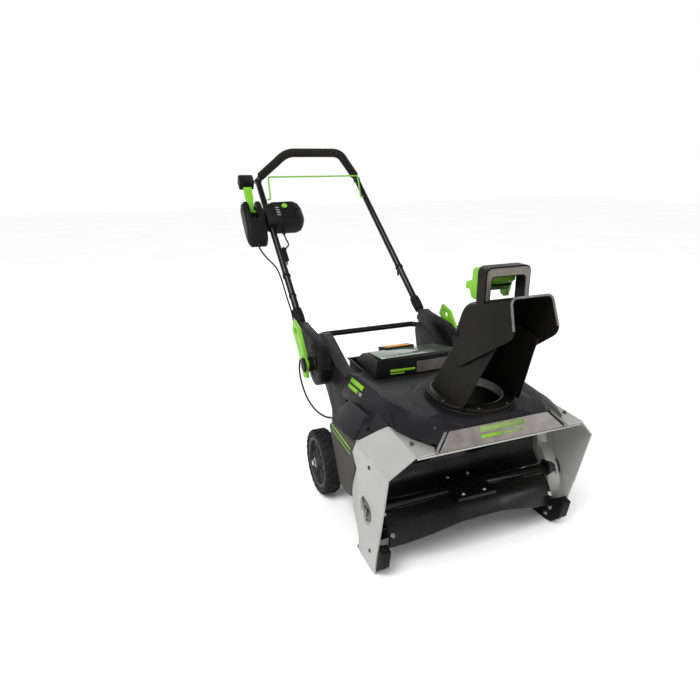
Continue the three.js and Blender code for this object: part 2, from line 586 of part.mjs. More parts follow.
// Cables: one down the leg from the chute control, its loop into the body, one from the switch box
const CABLE_R = 3;
const CONTROL_CABLE = [
  [-296, 1183.7, 698], [-298, 1170, 686], [-285, 1124, 658], [-262, 1072, 626], [-257.5, 1019, 592],
  [-258, 941, 532], [-258, 890, 494], [-262.5, 842, 457], [-263, 790, 424], [-264, 735, 405],
];
const BODY_LOOP = [
  [-264, 728, 401], [-272, 742, 372], [-276, 752, 330], [-276, 735, 285], [-275, 680, 248], [-273, 600, 236],
  [-268, 520, 244], [-258, 460, 262], [-248, 425, 276],
];
const SWITCH_CABLE = [
  [-188, 1206, 731], [-186, 1192, 716], [-184, 1168, 703], [-190, 1146, 695], [-204, 1130, 686],
  [-218, 1095, 662], [-219, 1060, 635],
];
add('cable_controls', wire(CONTROL_CABLE, CABLE_R, 8, 36), rubber);
add('cable_loop', wire(BODY_LOOP, CABLE_R, 8, 34), rubber);
add('cable_switch', wire(SWITCH_CABLE, CABLE_R, 8, 24), rubber);

// ---------------------------------------------------------------- chute
const turret = new THREE.Group();
turret.position.set(0, RING.y, RING.z);
turret.rotation.x = RING.tilt;
machine.add(turret);
add('chute_ring', turned('z', [0, 0, 0], [
  [RING.bore, -61], [RING.bore + 7, -61], [RING.bore + 7, -12], [RING.r, -12], [RING.r, -4], [RING.bore, -4],
], 36), black, turret);
// Collar that the chute turns on, inside the ring and the chute's base
const COLLAR_R = RING.bore - 1.6;
const collarLine = [[COLLAR_R - 3, -20], [COLLAR_R, -20], [COLLAR_R, 3.4], [COLLAR_R - 3, 3.4]];
add('outlet_collar', turned('z', [0, 0, 0], collarLine, 36), silver, turret);

// Chute walls lean forward over the ring; all points are in the machine frame
const WALL_T = 3.2;
const chuteRing = (shrink, [yf, zf, wf], [yr, zr, wr, bulge], lip) => {
  const [dy, dz] = [yr - yf, zr - zf];
  const n = Math.hypot(dy, dz);
  const along = (from, distance) => [from[0] + (distance * dy) / n, from[1] + (distance * dz) / n];
  const front = along([yf, zf], -lip);
  const corner = along([yr, zr], -22 - shrink);
  const back = along([yr, zr], -shrink);
  const middle = along([yr, zr], bulge - shrink);
  const rearHalf = wr - shrink;
  const half = [[wf - shrink, front], [rearHalf, corner], [rearHalf * 0.72, back], [rearHalf * 0.25, middle]];
  return [...half.map(([x, p]) => [-x, ...p]), ...half.reverse().map(([x, p]) => [x, ...p])];
};
const CHUTE_STATIONS = [
  [[48, 424, 84], [204, 426, 86, 19]], [[36, 447, 80], [192, 450, 83, 17]], [[8, 514, 71], [154, 522, 72, 8]],
  [[-20, 579, 60.4], [106, 611, 59, 2]], [[-38, 618, 55], [84, 648, 54, 0]],
];
const CHUTE_ROOM = [
  [[57, 402, 88], [214, 405, 89, 20]], CHUTE_STATIONS[1], CHUTE_STATIONS[2], CHUTE_STATIONS[3], CHUTE_STATIONS[4],
  [[-56, 657, 50], [62, 685, 49, 0]],
];
const chuteWall = cut(
  loft(CHUTE_STATIONS.map(([f, r]) => chuteRing(0, f, r, 0))),
  loft(CHUTE_ROOM.map(([f, r]) => chuteRing(WALL_T, f, r, 60))),
);
const toTurret = (geometry) => {
  turret.updateMatrixWorld(true);
  return geometry.applyMatrix4(turret.matrix.clone().invert());
};
const BASE_R = RING.r - 3;
const chuteBase = turned('z', [0, 0, 0], [[RING.bore, -3.6], [BASE_R, -3.6], [BASE_R, 6], [RING.bore, 6]], 48);
const chuteFloor = cut(toTurret(chuteWall), box(-200, 200, -200, 200, -60, 4));
add('chute', join(chuteBase, chuteFloor), black, turret);

// Deflector: side panels, rounded back and roof, open to the front and below
const DEFLECTOR = [
  [-67, 725], [-95, 650], [-92, 639], [-84, 631], [72, 534], [90, 534], [101, 546], [116, 600], [110, 652],
  [98, 672], [80, 683],
];
const deflectorHalf = (y, z) => 54 + 0.045 * (y + 67) - 0.085 * (z - 725);
const DEFLECTOR_IN = [
  [-160, 744.2], [-160, 500], [150, 500], [150, 606], [112.2, 606], [106.8, 650.6], [95.6, 669.3], [79, 679.5],
];
const deflectorSkin = (outline, extra) => loft([-1, 1].map((s) =>
  outline.map(([y, z]) => [s * (deflectorHalf(y, z) + extra), y, z])));
const deflectorShell = cut(deflectorSkin(DEFLECTOR, 0), deflectorSkin(DEFLECTOR_IN, -WALL_T));
add('deflector', toTurret(deflectorShell), black, turret);

const gripOutline = [[-59.5, 672], [-59.5, 764], [-50, 774], [50, 774], [59.5, 764], [59.5, 672]];
const gripHole = [[-44, 660], [-44, 741], [-34, 751], [34, 751], [44, 741], [44, 660]];
const across = (outline, y0, y1) => {
  const shape = new THREE.Shape(outline.map(([x, z]) => new THREE.Vector2(x, z)));
  const geometry = new THREE.ExtrudeGeometry(shape, { depth: y1 - y0, bevelEnabled: false });
  return geometry.rotateX(Math.PI / 2).translate(0, y1, 0);
};
const chuteGrip = cut(across(gripOutline, 16, 46), across(gripHole, 0, 80),
  deflectorSkin(inset(DEFLECTOR, -GAP), GAP));
add('chute_handle', toTurret(chuteGrip), black, turret);

const TRIGGER = [
  [48.8, 768], [78, 765], [87, 758], [88, 735], [111, 727], [113, 711], [96, 711], [88, 694], [77, 691], [67, 694],
  [62, 712], [58, 728], [48.8, 734],
];
const triggerBody = cut(sideProfile(TRIGGER, -46, 46), box(-36, 36, 40, 150, 680, 726));
add('deflector_trigger', toTurret(triggerBody), lime, turret);

// Stand the machine on its origin: the middle of its footprint, at floor level
const bounds = new THREE.Box3().setFromObject(machine, true);
machine.position.set(-(bounds.min.x + bounds.max.x) / 2, -(bounds.min.y + bounds.max.y) / 2, -bounds.min.z);

export default machine;
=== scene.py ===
import json
import math

import bmesh
import bpy
from mathutils import Matrix, Vector


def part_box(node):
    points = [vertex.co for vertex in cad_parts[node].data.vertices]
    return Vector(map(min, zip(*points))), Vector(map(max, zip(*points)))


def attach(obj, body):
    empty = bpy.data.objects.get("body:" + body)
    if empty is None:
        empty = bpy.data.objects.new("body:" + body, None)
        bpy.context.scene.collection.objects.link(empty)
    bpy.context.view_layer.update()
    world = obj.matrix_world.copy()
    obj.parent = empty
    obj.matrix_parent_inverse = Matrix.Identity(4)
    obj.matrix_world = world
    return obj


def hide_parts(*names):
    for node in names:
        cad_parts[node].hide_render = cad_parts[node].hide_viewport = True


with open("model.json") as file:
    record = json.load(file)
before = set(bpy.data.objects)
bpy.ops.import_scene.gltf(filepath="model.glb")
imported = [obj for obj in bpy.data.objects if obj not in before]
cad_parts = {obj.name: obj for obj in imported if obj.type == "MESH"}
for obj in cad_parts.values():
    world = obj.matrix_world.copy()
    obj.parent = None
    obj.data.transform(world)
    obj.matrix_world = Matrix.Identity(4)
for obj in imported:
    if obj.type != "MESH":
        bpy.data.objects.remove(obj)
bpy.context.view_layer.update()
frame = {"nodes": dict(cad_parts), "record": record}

# ---------------------------------------------------------------- frame helpers
# Machine frame: millimetres, Y from the front corner of the plates, as in the design
SHIFT = Vector((
    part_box("side_plate_right")[1].x - 0.295,
    sum(c.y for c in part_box("tyre_left")) / 2 - 0.494,
    0.0,
))
SIDES = (("left", -1), ("right", 1))


def at(x, y, z):
    """A machine-frame point in millimetres, as a row-frame point in metres."""
    return Vector((x, y, z)) / 1000 + SHIFT


# ---------------------------------------------------------------- camera, lights, floor
def make_camera():
    cam = bpy.data.objects.new("camera", bpy.data.cameras.new("camera"))
    bpy.context.scene.collection.objects.link(cam)
    azimuth, elevation, roll = (math.radians(v) for v in (-21.3956, 18.3149, -0.5877))
    target = at(-81.99, 765.819, 363.214)
    back = Vector((
        math.sin(azimuth) * math.cos(elevation), -math.cos(azimuth) * math.cos(elevation), math.sin(elevation)
    ))
    cam.rotation_mode = "QUATERNION"
    look = (-back).to_track_quat("-Z", "Y")
    cam.rotation_quaternion = look @ Matrix.Rotation(roll, 3, "Z").to_quaternion()
    cam.location = target + back * 1.952893
    cam.data.sensor_width = 36
    cam.data.lens = 28.0180
    cam.data.clip_end = 60
    bpy.context.scene.camera = cam


def area_light(name, spot, aim, size, watts, tint=(1, 1, 1)):
    data = bpy.data.lights.new(name, "AREA")
    data.shape = "RECTANGLE"
    data.size, data.size_y = size
    data.energy = watts
    data.color = tint
    lamp = bpy.data.objects.new(name, data)
    bpy.context.scene.collection.objects.link(lamp)
    lamp.location = spot
    lamp.rotation_mode = "QUATERNION"
    lamp.rotation_quaternion = (Vector(aim) - Vector(spot)).to_track_quat("-Z", "Y")


def sun_light(name, toward, strength, spread):
    data = bpy.data.lights.new(name, "SUN")
    data.energy = strength
    data.angle = math.radians(spread)
    lamp = bpy.data.objects.new(name, data)
    bpy.context.scene.collection.objects.link(lamp)
    lamp.rotation_mode = "QUATERNION"
    lamp.rotation_quaternion = (-Vector(toward)).to_track_quat("-Z", "Y")


def studio_world():
    """White round the horizon, dimmer overhead."""
    world = bpy.data.worlds.new("studio")
    world.use_nodes = True
    tree = world.node_tree
    back = tree.nodes["Background"]
    back.inputs[0].default_value = (1, 1, 1, 1)
    split = tree.nodes.new("ShaderNodeSeparateXYZ")
    ranged = tree.nodes.new("ShaderNodeMapRange")
    for key, value in (("From Min", 0.3), ("From Max", 0.75), ("To Min", 1.0), ("To Max", 0.3)):
        ranged.inputs[key].default_value = value
    tree.links.new(tree.nodes.new("ShaderNodeTexCoord").outputs["Generated"], split.inputs[0])
    tree.links.new(split.outputs["Z"], ranged.inputs["Value"])
    tree.links.new(ranged.outputs["Result"], back.inputs[1])
    return world


def make_stage():
    mesh = bpy.data.meshes.new("floor")
    edge = 14.0
    mesh.from_pydata([(-edge, -edge, 0), (edge, -edge, 0), (edge, edge, 0), (-edge, edge, 0)], [], [(0, 1, 2, 3)])
    floor = bpy.data.objects.new("floor", mesh)
    bpy.context.scene.collection.objects.link(floor)
    mesh.materials.append(plain_floor())
    bpy.context.scene.world = studio_world()
    sun_light("sun", (-0.5, -0.45, 1.0), 2.0, 35)
    area_light("key", (-2.2, -1.6, 3.0), (0, -0.2, 0.3), (1.4, 1.4), 45)
    area_light("fill", (2.6, -2.4, 2.0), (0, -0.2, 0.4), (1.2, 0.9), 22)
    area_light("rim", (0.6, 3.0, 2.6), (0, 0, 0.5), (2.0, 1.2), 30)
    bpy.context.scene.view_settings.view_transform = "Standard"


# ---------------------------------------------------------------- materials
class Shader:
    """A Principled material built node by node."""

    def __init__(self, name, rough=0.5, metallic=0.0, **sockets):
        self.mat = bpy.data.materials.new(name)
        self.mat.use_nodes = True
        self.tree = self.mat.node_tree
        self.bsdf = self.tree.nodes["Principled BSDF"]
        self.bsdf.inputs["Roughness"].default_value = rough
        self.bsdf.inputs["Metallic"].default_value = metallic
        for key, value in sockets.items():
            self.bsdf.inputs[key.replace("_", " ")].default_value = value
        self.coord = self.tree.nodes.new("ShaderNodeTexCoord").outputs["Object"]

    def node(self, kind, **values):
        made = self.tree.nodes.new(kind)
        for key, value in values.items():
            made.inputs[key.replace("_", " ")].default_value = value
        return made

    def link(self, a, b):
        self.tree.links.new(a, b)

    def noise(self, scale, detail=4.0, rough=0.55, stretch=None):
        tex = self.node("ShaderNodeTexNoise", Scale=scale, Detail=detail, Roughness=rough)
        source = self.coord
        if stretch:
            mapping = self.node("ShaderNodeMapping")
            mapping.inputs["Scale"].default_value = stretch
            self.link(self.coord, mapping.inputs["Vector"])
            source = mapping.outputs["Vector"]
        self.link(source, tex.inputs["Vector"])
        return tex.outputs["Fac"]

    def ramp(self, fac, stops):
        made = self.tree.nodes.new("ShaderNodeValToRGB")
        elements = made.color_ramp.elements
        while len(elements) < len(stops):
            elements.new(0.5)
        for element, (place, colour) in zip(elements, stops):
            element.position = place
            element.color = (*colour, 1) if len(colour) == 3 else colour
        self.link(fac, made.inputs["Fac"])
        return made.outputs["Color"]

    def colour(self, low, high, scale=9.0, edges=(0.35, 0.65)):
        self.link(self.ramp(self.noise(scale), [(edges[0], low), (edges[1], high)]), self.bsdf.inputs["Base Color"])

    def roughness(self, low, high, scale=30.0):
        fac = self.noise(scale, 5.0)
        ranged = self.node("ShaderNodeMapRange")
        ranged.inputs["From Min"].default_value = 0.3
        ranged.inputs["From Max"].default_value = 0.7
        ranged.inputs["To Min"].default_value = low
        ranged.inputs["To Max"].default_value = high
        self.link(fac, ranged.inputs["Value"])
        self.link(ranged.outputs["Result"], self.bsdf.inputs["Roughness"])

    def bump(self, scale, strength, distance=0.0004, kind="noise"):
        if kind == "cells":
            tex = self.node("ShaderNodeTexVoronoi", Scale=scale)
            self.link(self.coord, tex.inputs["Vector"])
            height = tex.outputs["Distance"]
        else:
            height = self.noise(scale, 3.0, 0.6)
        made = self.node("ShaderNodeBump", Strength=strength, Distance=distance)
        self.link(height, made.inputs["Height"])
        self.link(made.outputs["Normal"], self.bsdf.inputs["Normal"])


def shade(name, low, high, rough, bump, metallic=0.0, scale=9.0, kind="noise", **sockets):
    made = Shader(name, sum(rough) / 2, metallic, **sockets)
    made.colour(low, high, scale)
    made.roughness(*rough)
    made.bump(*bump, kind=kind)
    return made.mat


def grey(v, warm=0.0):
    return (v * (1 + warm), v, v * (1 - warm))


def plain_floor():
    made = Shader("floor_paper", 0.9)
    made.colour((0.93, 0.93, 0.93), (0.96, 0.96, 0.96), 1.5)
    return made.mat


DARK = {"Specular_IOR_Level": 0.1}
MATERIALS = {
    "silver": shade("silver_coat", (0.33, 0.33, 0.31), (0.37, 0.37, 0.35), (0.38, 0.48), (1400, 0.12), 0.2, 5,
                    Coat_Weight=0.1, Coat_Roughness=0.3),
    "coat": shade("black_coat", grey(0.003), grey(0.005), (0.16, 0.24), (1500, 0.06), 0.0, 20, Specular_IOR_Level=0.25),
    "plastic": shade("black_moulded", grey(0.004), grey(0.007), (0.42, 0.55), (2600, 0.35, 0.0002), 0.0, 14, **DARK),
    "chute": shade("chute_moulded", grey(0.004, 0.08), grey(0.007, 0.08), (0.36, 0.48), (2200, 0.3, 0.0002), 0.0, 10,
                   **DARK),
    # rim: a lighter grey for rolled edges, a painted highlight standing in for the bright reflection along them
    "rim": shade("deflector_rim_painted_highlight", grey(0.09, 0.05), grey(0.13, 0.05), (0.25, 0.35), (2200, 0.1, 0.0002), 0.0, 30),
    "hub": shade("hub_moulded", grey(0.026), grey(0.04), (0.4, 0.52), (2600, 0.3, 0.0002), 0.0, 14, **DARK),
    "shroud": shade("shroud_moulded", (0.008, 0.008, 0.0092), (0.012, 0.012, 0.0135), (0.42, 0.52), (2600, 0.3, 0.0002),
                    0.0, 12, **DARK),
    "panel": shade("panel_moulded", grey(0.028, 0.08), grey(0.05, 0.08), (0.5, 0.6), (1800, 0.4, 0.0002), 0.0, 500,
                   **DARK),
    "trim": shade("trim_metallic", (0.16, 0.145, 0.13), (0.21, 0.19, 0.17), (0.3, 0.4), (1800, 0.1), 0.6, 30),
    "lime": shade("lime_moulded", (0.13, 0.37, 0.012), (0.16, 0.43, 0.017), (0.34, 0.45), (2200, 0.15, 0.0002), 0.0, 12,
                  Specular_IOR_Level=0.3),
    "lime_print": shade("lime_print", (0.16, 0.36, 0.02), (0.2, 0.42, 0.03), (0.45, 0.55), (2200, 0.1, 0.0001), 0.0, 60,
                        **DARK),
    "pale_lime": shade("pale_lime_print", (0.17, 0.26, 0.08), (0.2, 0.3, 0.1), (0.45, 0.55), (2200, 0.1, 0.0001), 0.0,
                       60, **DARK),
    "pale_print": shade("pale_print", grey(0.16), grey(0.24), (0.5, 0.6), (2200, 0.1, 0.0001), 0.0, 90, **DARK),
    "rubber": shade("paddle_rubber", grey(0.003), grey(0.005), (0.26, 0.42), (1200, 0.2, 0.0003), 0.0, 25,
                    Specular_IOR_Level=0.2),
    "tyre": shade("tyre_rubber", grey(0.010), grey(0.018), (0.62, 0.8), (1500, 0.5, 0.0003), 0.0, 40, **DARK),
    "foam": shade("grip_foam", grey(0.006, 0.1), grey(0.013, 0.1), (0.85, 0.98), (900, 0.9, 0.0008), 0.0, 300,
                  kind="cells", Specular_IOR_Level=0.2),
    "steel": shade("zinc_steel", grey(0.42), grey(0.55), (0.2, 0.34), (900, 0.15), 1.0, 60),
    "dark_steel": shade("dark_steel", grey(0.05), grey(0.09), (0.3, 0.45), (1200, 0.2), 0.8, 60),
    "alloy": shade("cast_alloy", grey(0.4), grey(0.5), (0.35, 0.5), (900, 0.4), 1.0, 60),
    "cable": shade("cable_sheath", grey(0.006), grey(0.010), (0.38, 0.5), (2000, 0.2, 0.0002), 0.0, 40, **DARK),
    "orange": shade("orange_label", (0.48, 0.22, 0.02), (0.54, 0.26, 0.03), (0.4, 0.5), (2000, 0.15, 0.0002), 0.0, 30),
    "glass": shade("tinted_window", (0.075, 0.11, 0.085), (0.10, 0.145, 0.115), (0.1, 0.18), (40, 0.02), 0.0, 8,
                   Coat_Weight=0.4, Coat_Roughness=0.08),
    "board": shade("circuit_board", (0.01, 0.06, 0.03), (0.02, 0.1, 0.05), (0.4, 0.5), (900, 0.3), 0.0, 80),
}

NODE_LOOK = {
    "silver": "side_plate_left side_plate_right outlet_collar",
    "coat": "auger_housing handle_tube crossbar auger_shaft",
    "plastic": "battery_bay lid lid_latch side_frame_left side_frame_right floor_pan handle_fitting_left "
               "handle_fitting_right switch_box joystick_box joystick_knob belt_cover scraper_bar skid_left skid_right "
               "wheel_hub_left wheel_hub_right",
    "chute": "chute_ring chute deflector chute_handle",
    "shroud": "top_shroud shoulder_cap_left shoulder_cap_right battery_pack motor_case",
    "panel": "side_cover_left side_cover_right",
    "trim": "front_trim",
    "lime": "cam_lever_left cam_lever_right safety_button joystick_lever deflector_trigger bail",
    "rubber": "auger_paddle_1 auger_paddle_2 drive_belt",
    "tyre": "tyre_left tyre_right",
    "foam": "foam_grip",
    "steel": "motor_rotor axle pivot_bolt_left pivot_bolt_right",
    "dark_steel": "auger_bearing_left auger_bearing_right",
    "alloy": "auger_pulley",
    "glass": "lid_window",
    "board": "control_board",
    "cable": "cable_controls cable_loop cable_switch",
}
LOOK = {node: look for look, nodes in NODE_LOOK.items() for node in nodes.split()}
BODY = {node: body for body, nodes in frame["record"]["behaviour"]["bodies"].items() for node in nodes}


# ---------------------------------------------------------------- building pieces
def piece(name, mesh, body, look, stands_for=()):
    """A visible piece on a body, in one of the materials, in place of the CAD nodes it stands for."""
    made = bpy.data.objects.new(name, mesh)
    bpy.context.scene.collection.objects.link(made)
    mesh.materials.clear()
    mesh.materials.append(MATERIALS[look])
    mesh.shade_smooth()
    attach(made, body)
    if stands_for:
        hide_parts(*stands_for)
    return made


JOIN = 0.02  # corners closer than this are one, in millimetres


def bevelled(made, width, segments=2, angle=30):
    """Edges sharper than the angle, rounded by the given width in millimetres."""
    bevel = made.modifiers.new("edges", "BEVEL")
    bevel.width = width / 1000
    bevel.segments = segments
    bevel.limit_method = "ANGLE"
    bevel.angle_limit = math.radians(angle)
    bevel.harden_normals = True
    bevel.miter_outer = "MITER_ARC"
    return made


def softened(node, width=1.2, segments=2):
    """A CAD node's own shape with its flat faces merged and its edges rounded."""
    mesh = bpy.data.meshes.new(node + "_soft")
    work = bmesh.new()
    work.from_mesh(frame["nodes"][node].data)
    bmesh.ops.remove_doubles(work, verts=work.verts, dist=JOIN / 1000)
    bmesh.ops.dissolve_limit(work, angle_limit=math.radians(1.0), verts=work.verts, edges=work.edges)
    work.to_mesh(mesh)
    work.free()
    made = piece(node + "_soft", mesh, BODY[node], LOOK[node], [node])
    return bevelled(made, width, segments)


# ---------------------------------------------------------------- shapes, in machine millimetres
def vec(*p):
    return Vector(p if len(p) == 3 else p[0])


def rings(loops, closed=False, ends=True):
    """Skin through loops of points; the ends are capped unless the run of loops is closed."""
    count = len(loops[0])
    points = [vec(p) for loop in loops for p in loop]
    faces = []
    runs = len(loops) if closed else len(loops) - 1
    for i in range(runs):
        a, b = i * count, ((i + 1) % len(loops)) * count
        for j in range(count):
            k = (j + 1) % count
            faces.append((a + j, a + k, b + k, b + j))
    if ends and not closed:
        faces.append(tuple(reversed(range(count))))
        faces.append(tuple(range((len(loops) - 1) * count, len(loops) * count)))
    return points, faces


def across(direction):
    """Two unit vectors square to a direction."""
    direction = direction.normalized()
    side = direction.cross(Vector((0, 0, 1)) if abs(direction.z) < 0.9 else Vector((1, 0, 0))).normalized()
    return side, direction.cross(side).normalized()


def sweep(line, radius, sides=24):
    """A round bar along a line of points, with softly rounded ends."""
    line = [vec(p) for p in line]
    first, last = (line[1] - line[0]).normalized(), (line[-1] - line[-2]).normalized()
    nose = radius * 0.25
    stops = [(line[0], 0.7), (line[0] + first * nose, 1.0)] + [(p, 1.0) for p in line[1:-1]]
    stops += [(line[-1] - last * nose, 1.0), (line[-1], 0.7)]
    side, _ = across(first)
    loops = []
    for i, (point, scale) in enumerate(stops):
        before, after = stops[max(i - 1, 0)][0], stops[min(i + 1, len(stops) - 1)][0]
        ahead = (after - before).normalized()
        side = (side - ahead * side.dot(ahead)).normalized()
        other = ahead.cross(side)
        loops.append([
            point + (side * math.cos(a) + other * math.sin(a)) * radius * scale
            for a in (2 * math.pi * j / sides for j in range(sides))
        ])
    return rings(loops)


def turned(centre, axis, outline, sides=48):
    """A closed (radius, height) outline turned about an axis."""
    centre, axis = vec(centre), vec(axis).normalized()
    u, v = across(axis)
    loops = []
    for j in range(sides):
        a = 2 * math.pi * j / sides
        spoke = u * math.cos(a) + v * math.sin(a)
        loops.append([centre + spoke * r + axis * h for r, h in outline])
    return rings(loops, closed=True)


def disc(centre, axis, outline, sides=32):
    """A capped body turned from (radius, height) points that run from one end to the other."""
    centre, axis = vec(centre), vec(axis).normalized()
    u, v = across(axis)
    return rings([
        [centre + (u * math.cos(a) + v * math.sin(a)) * r + axis * h
         for a in (2 * math.pi * j / sides for j in range(sides))]
        for r, h in outline
    ])


def slab(corners, depth):
    """A flat outline pushed along a vector."""
    corners = [vec(c) for c in corners]
    return rings([corners, [c + vec(depth) for c in corners]])


def pierced(outline, holes, place, depth):
    """A flat plate with holes: 2-D outlines set by place(u, v), pushed along a vector."""
    work = bmesh.new()
    for loop in [outline, *holes]:
        verts = [work.verts.new(place(u, v)) for u, v in loop]
        for a, b in zip(verts, verts[1:] + verts[:1]):
            work.edges.new((a, b))
    bmesh.ops.triangle_fill(work, use_beauty=True, edges=work.edges[:])
    bmesh.ops.dissolve_limit(work, angle_limit=0.01, verts=work.verts[:], edges=work.edges[:])
    back = bmesh.ops.extrude_face_region(work, geom=work.faces[:])
    bmesh.ops.translate(work, vec=vec(depth), verts=[v for v in back["geom"] if isinstance(v, bmesh.types.BMVert)])
    bmesh.ops.recalc_face_normals(work, faces=work.faces[:])
    work.verts.index_update()
    shape = [v.co.copy() for v in work.verts], [tuple(v.index for v in f.verts) for f in work.faces]
    work.free()
    return shape


def mesh_from(name, shapes):
    """One mesh of several (points, faces) shapes, faces outward, moved into the row frame."""
    points, faces = [], []
    for shape_points, shape_faces in shapes:
        start = len(points)
        points += [at(*p) for p in shape_points]
        faces += [tuple(start + i for i in f) for f in shape_faces]
    mesh = bpy.data.meshes.new(name)
    mesh.from_pydata(points, [], faces)
    work = bmesh.new()
    work.from_mesh(mesh)
    bmesh.ops.recalc_face_normals(work, faces=work.faces)
    work.to_mesh(mesh)
    work.free()
    return mesh


def build(name, shapes, body, look, stands_for=(), edge=0.0, segments=2, angle=35):
    """A piece from shapes, with its edges rounded by the given width in millimetres."""
    made = piece(name, mesh_from(name, shapes), body, look, stands_for)
    if edge:
        bevelled(made, edge, segments, angle)
    return made


def arc(cu, cv, r, start, end, steps):
    """Points of a round stretch, angles in degrees."""
    angles = (math.radians(start + (end - start) * i / steps) for i in range(steps + 1))
    return [(cu + r * math.cos(a), cv + r * math.sin(a)) for a in angles]


def rounded(corners, radius, steps=5):
    """A flat outline with every corner rounded by a radius, or by its own where a corner gives one."""
    out = []
    n = len(corners)
    for i, corner in enumerate(corners):
        here = Vector(corner[:2])
        reach = corner[2] if len(corner) > 2 else radius
        a, b = Vector(corners[i - 1][:2]) - here, Vector(corners[(i + 1) % n][:2]) - here
        reach = min(reach, a.length / 2.05, b.length / 2.05)
        start, end = here + a.normalized() * reach, here + b.normalized() * reach
        for k in range(steps + 1):
            t = k / steps
            out.append(tuple(start * (1 - t) ** 2 + here * 2 * t * (1 - t) + end * t ** 2))
    return out


def bent(points, bend, steps=10):
    """Straight runs joined by round bends."""
    points = [vec(p) for p in points]
    line = [points[0]]
    for before, corner, after in zip(points, points[1:], points[2:]):
        back, ahead = before - corner, after - corner
        reach = min(bend, back.length / 2.2, ahead.length / 2.2)
        start, end = corner + back.normalized() * reach, corner + ahead.normalized() * reach
        line += [start * (1 - t) ** 2 + corner * 2 * t * (1 - t) + end * t ** 2
                 for t in (k / steps for k in range(steps + 1))]
    return line + [points[-1]]


def curved(points, steps=7):
    """A smooth line through every point."""
    points = [vec(p) for p in points]
    padded = [points[0] * 2 - points[1], *points, points[-1] * 2 - points[-2]]
    line = []
    for p0, p1, p2, p3 in zip(padded, padded[1:], padded[2:], padded[3:]):
        for i in range(steps):
            t = i / steps
            line.append((p1 * 2 + (p2 - p0) * t + (p0 * 2 - p1 * 5 + p2 * 4 - p3) * t * t
                         + (p1 * 3 - p0 - p2 * 3 + p3) * t ** 3) / 2)
    return line + [points[-1]]


def cap_screw(centre, axis, radius=5.0, height=3.6):
    """A domed socket screw, with its recess."""
    outline = [(radius * 0.42, height * 0.35), (radius * 0.45, height * 0.97), (radius * 0.7, height),
               (radius * 0.93, height * 0.72), (radius, height * 0.3), (radius, -0.8), (radius * 0.42, -0.8)]
    socket = disc(centre, axis, [(radius * 0.43, -0.7), (radius * 0.43, height * 0.36)], 6)
    return [turned(centre, axis, outline, 20), socket]


def hex_bolt(centre, axis, radius=6.0, height=5.0):
    """A hexagon head on a washer."""
    washer = disc(centre, axis, [(radius * 1.35, -0.5), (radius * 1.4, 0.6), (radius * 1.3, 1.2)], 24)
    head = disc(centre, axis, [(radius, 1.0), (radius, height * 0.85), (radius * 0.84, height)], 6)
    return [washer, head]


# ---------------------------------------------------------------- auger housing and plates
AUGER = (125, 157)
PLATE_BOLTS = [(102, 294), (139, 186), (97, 58)]


def plate_fasteners():
    for name, sign in SIDES:
        outer = [s for y, z in PLATE_BOLTS for s in cap_screw((sign * 295, y, z), (sign, 0, 0), 5.2)]
        top = cap_screw((sign * 221, 30, 378.6), (0, 0, 1), 5.2)
        build(f"plate_screws_{name}", outer + top, "chassis", "dark_steel", edge=0.3)
        nut = hex_bolt((sign * 297.5, *AUGER), (sign, 0, 0), 6.2, 6)
        build(f"auger_nut_{name}", nut, "auger", "steel", edge=0.5)
        flange = turned((sign * 290.2, *AUGER), (sign, 0, 0), [(14, 0), (33, 0), (33, 1.6), (14, 3.2)], 40)
        carrier = [s for a in (30, 150, 270) for s in hex_bolt(
            (sign * 291.8, AUGER[0] + 26 * math.cos(math.radians(a)), AUGER[1] + 26 * math.sin(math.radians(a))),
            (sign, 0, 0), 3.4, 2.6)]
        build(f"bearing_carrier_{name}", [flange, *carrier], "chassis", "dark_steel", edge=0.5)
        pan = [s for y, z in ((79, 170), (164, 214), (140, 98))
               for s in hex_bolt((sign * 264.8, y, z), (-sign, 0, 0), 4.2, 3.4)]
        build(f"pan_bolts_{name}", pan, "chassis", "steel", edge=0.4)
        shoe = [s for y, z in ((86, 47), (100, 20)) for s in hex_bolt((sign * 265.2, y, z), (-sign, 0, 0), 5.2, 4)]
        build(f"skid_bolts_{name}", shoe, "chassis", "steel", edge=0.4)


def housing_details():
    """Pressed ribs and rivets on the drum's back wall, and its front lip."""
    wall = [(110, 25), (110, 47)]
    ribs = []
    for sign in (-1, 1):
        for radius, degrees in wall:
            a = math.radians(degrees)
            y, z = AUGER[0] + (radius - 4.2) * math.cos(a), AUGER[1] + (radius - 4.2) * math.sin(a)
            ribs.append(sweep([(sign * 60, y, z), (sign * 225, y, z)], 2.6, 12))
    build("drum_ribs", ribs, "chassis", "coat")
    rivets = [disc((x, 168 if abs(x) < 200 else 150, 361.5), (0, 0, -1), [(4.4, -1), (4.4, 0.8), (2.6, 2)], 16)
              for x in (-240, -120, 0, 120, 240)]
    build("drum_rivets", rivets, "chassis", "steel")
    lip = sweep([(-231, -17, 364.4), (231, -17, 364.4)], 2.4, 12)
    build("drum_front_lip", [lip], "chassis", "silver")


def auger_details():
    """Bolt heads on the paddles' clamp plates and near the rubber's outer ends."""
    heads = []
    for start in (3.2, 3.2 + math.pi):
        along = Vector((0, math.cos(start), math.sin(start)))
        face = Vector((0, -math.sin(start), math.cos(start)))
        middle = Vector((0, *AUGER))
        for x in (-34, 30):
            for side in (-1, 1):
                heads += hex_bolt(middle + along * 40 + face * 12.1 * side + Vector((x, 0, 0)), face * side, 4.6, 4)
        for end in (-1, 1):
            # a bolt near each outer end of the paddle
            inner = middle + along * 20 + Vector((end * 244, 0, 0))
            turn = Matrix.Rotation(0.62, 3, "X")
            tip = middle + turn @ (along * 86) + Vector((end * 244, 0, 0))
            heads += hex_bolt(inner.lerp(tip, 0.82) + (turn @ face) * 7, turn @ face, 4.4, 3.6)
    build("clamp_bolts", heads, "auger", "steel", edge=0.3)


PADDLE_STARTS = (3.2, 3.2 + math.pi)


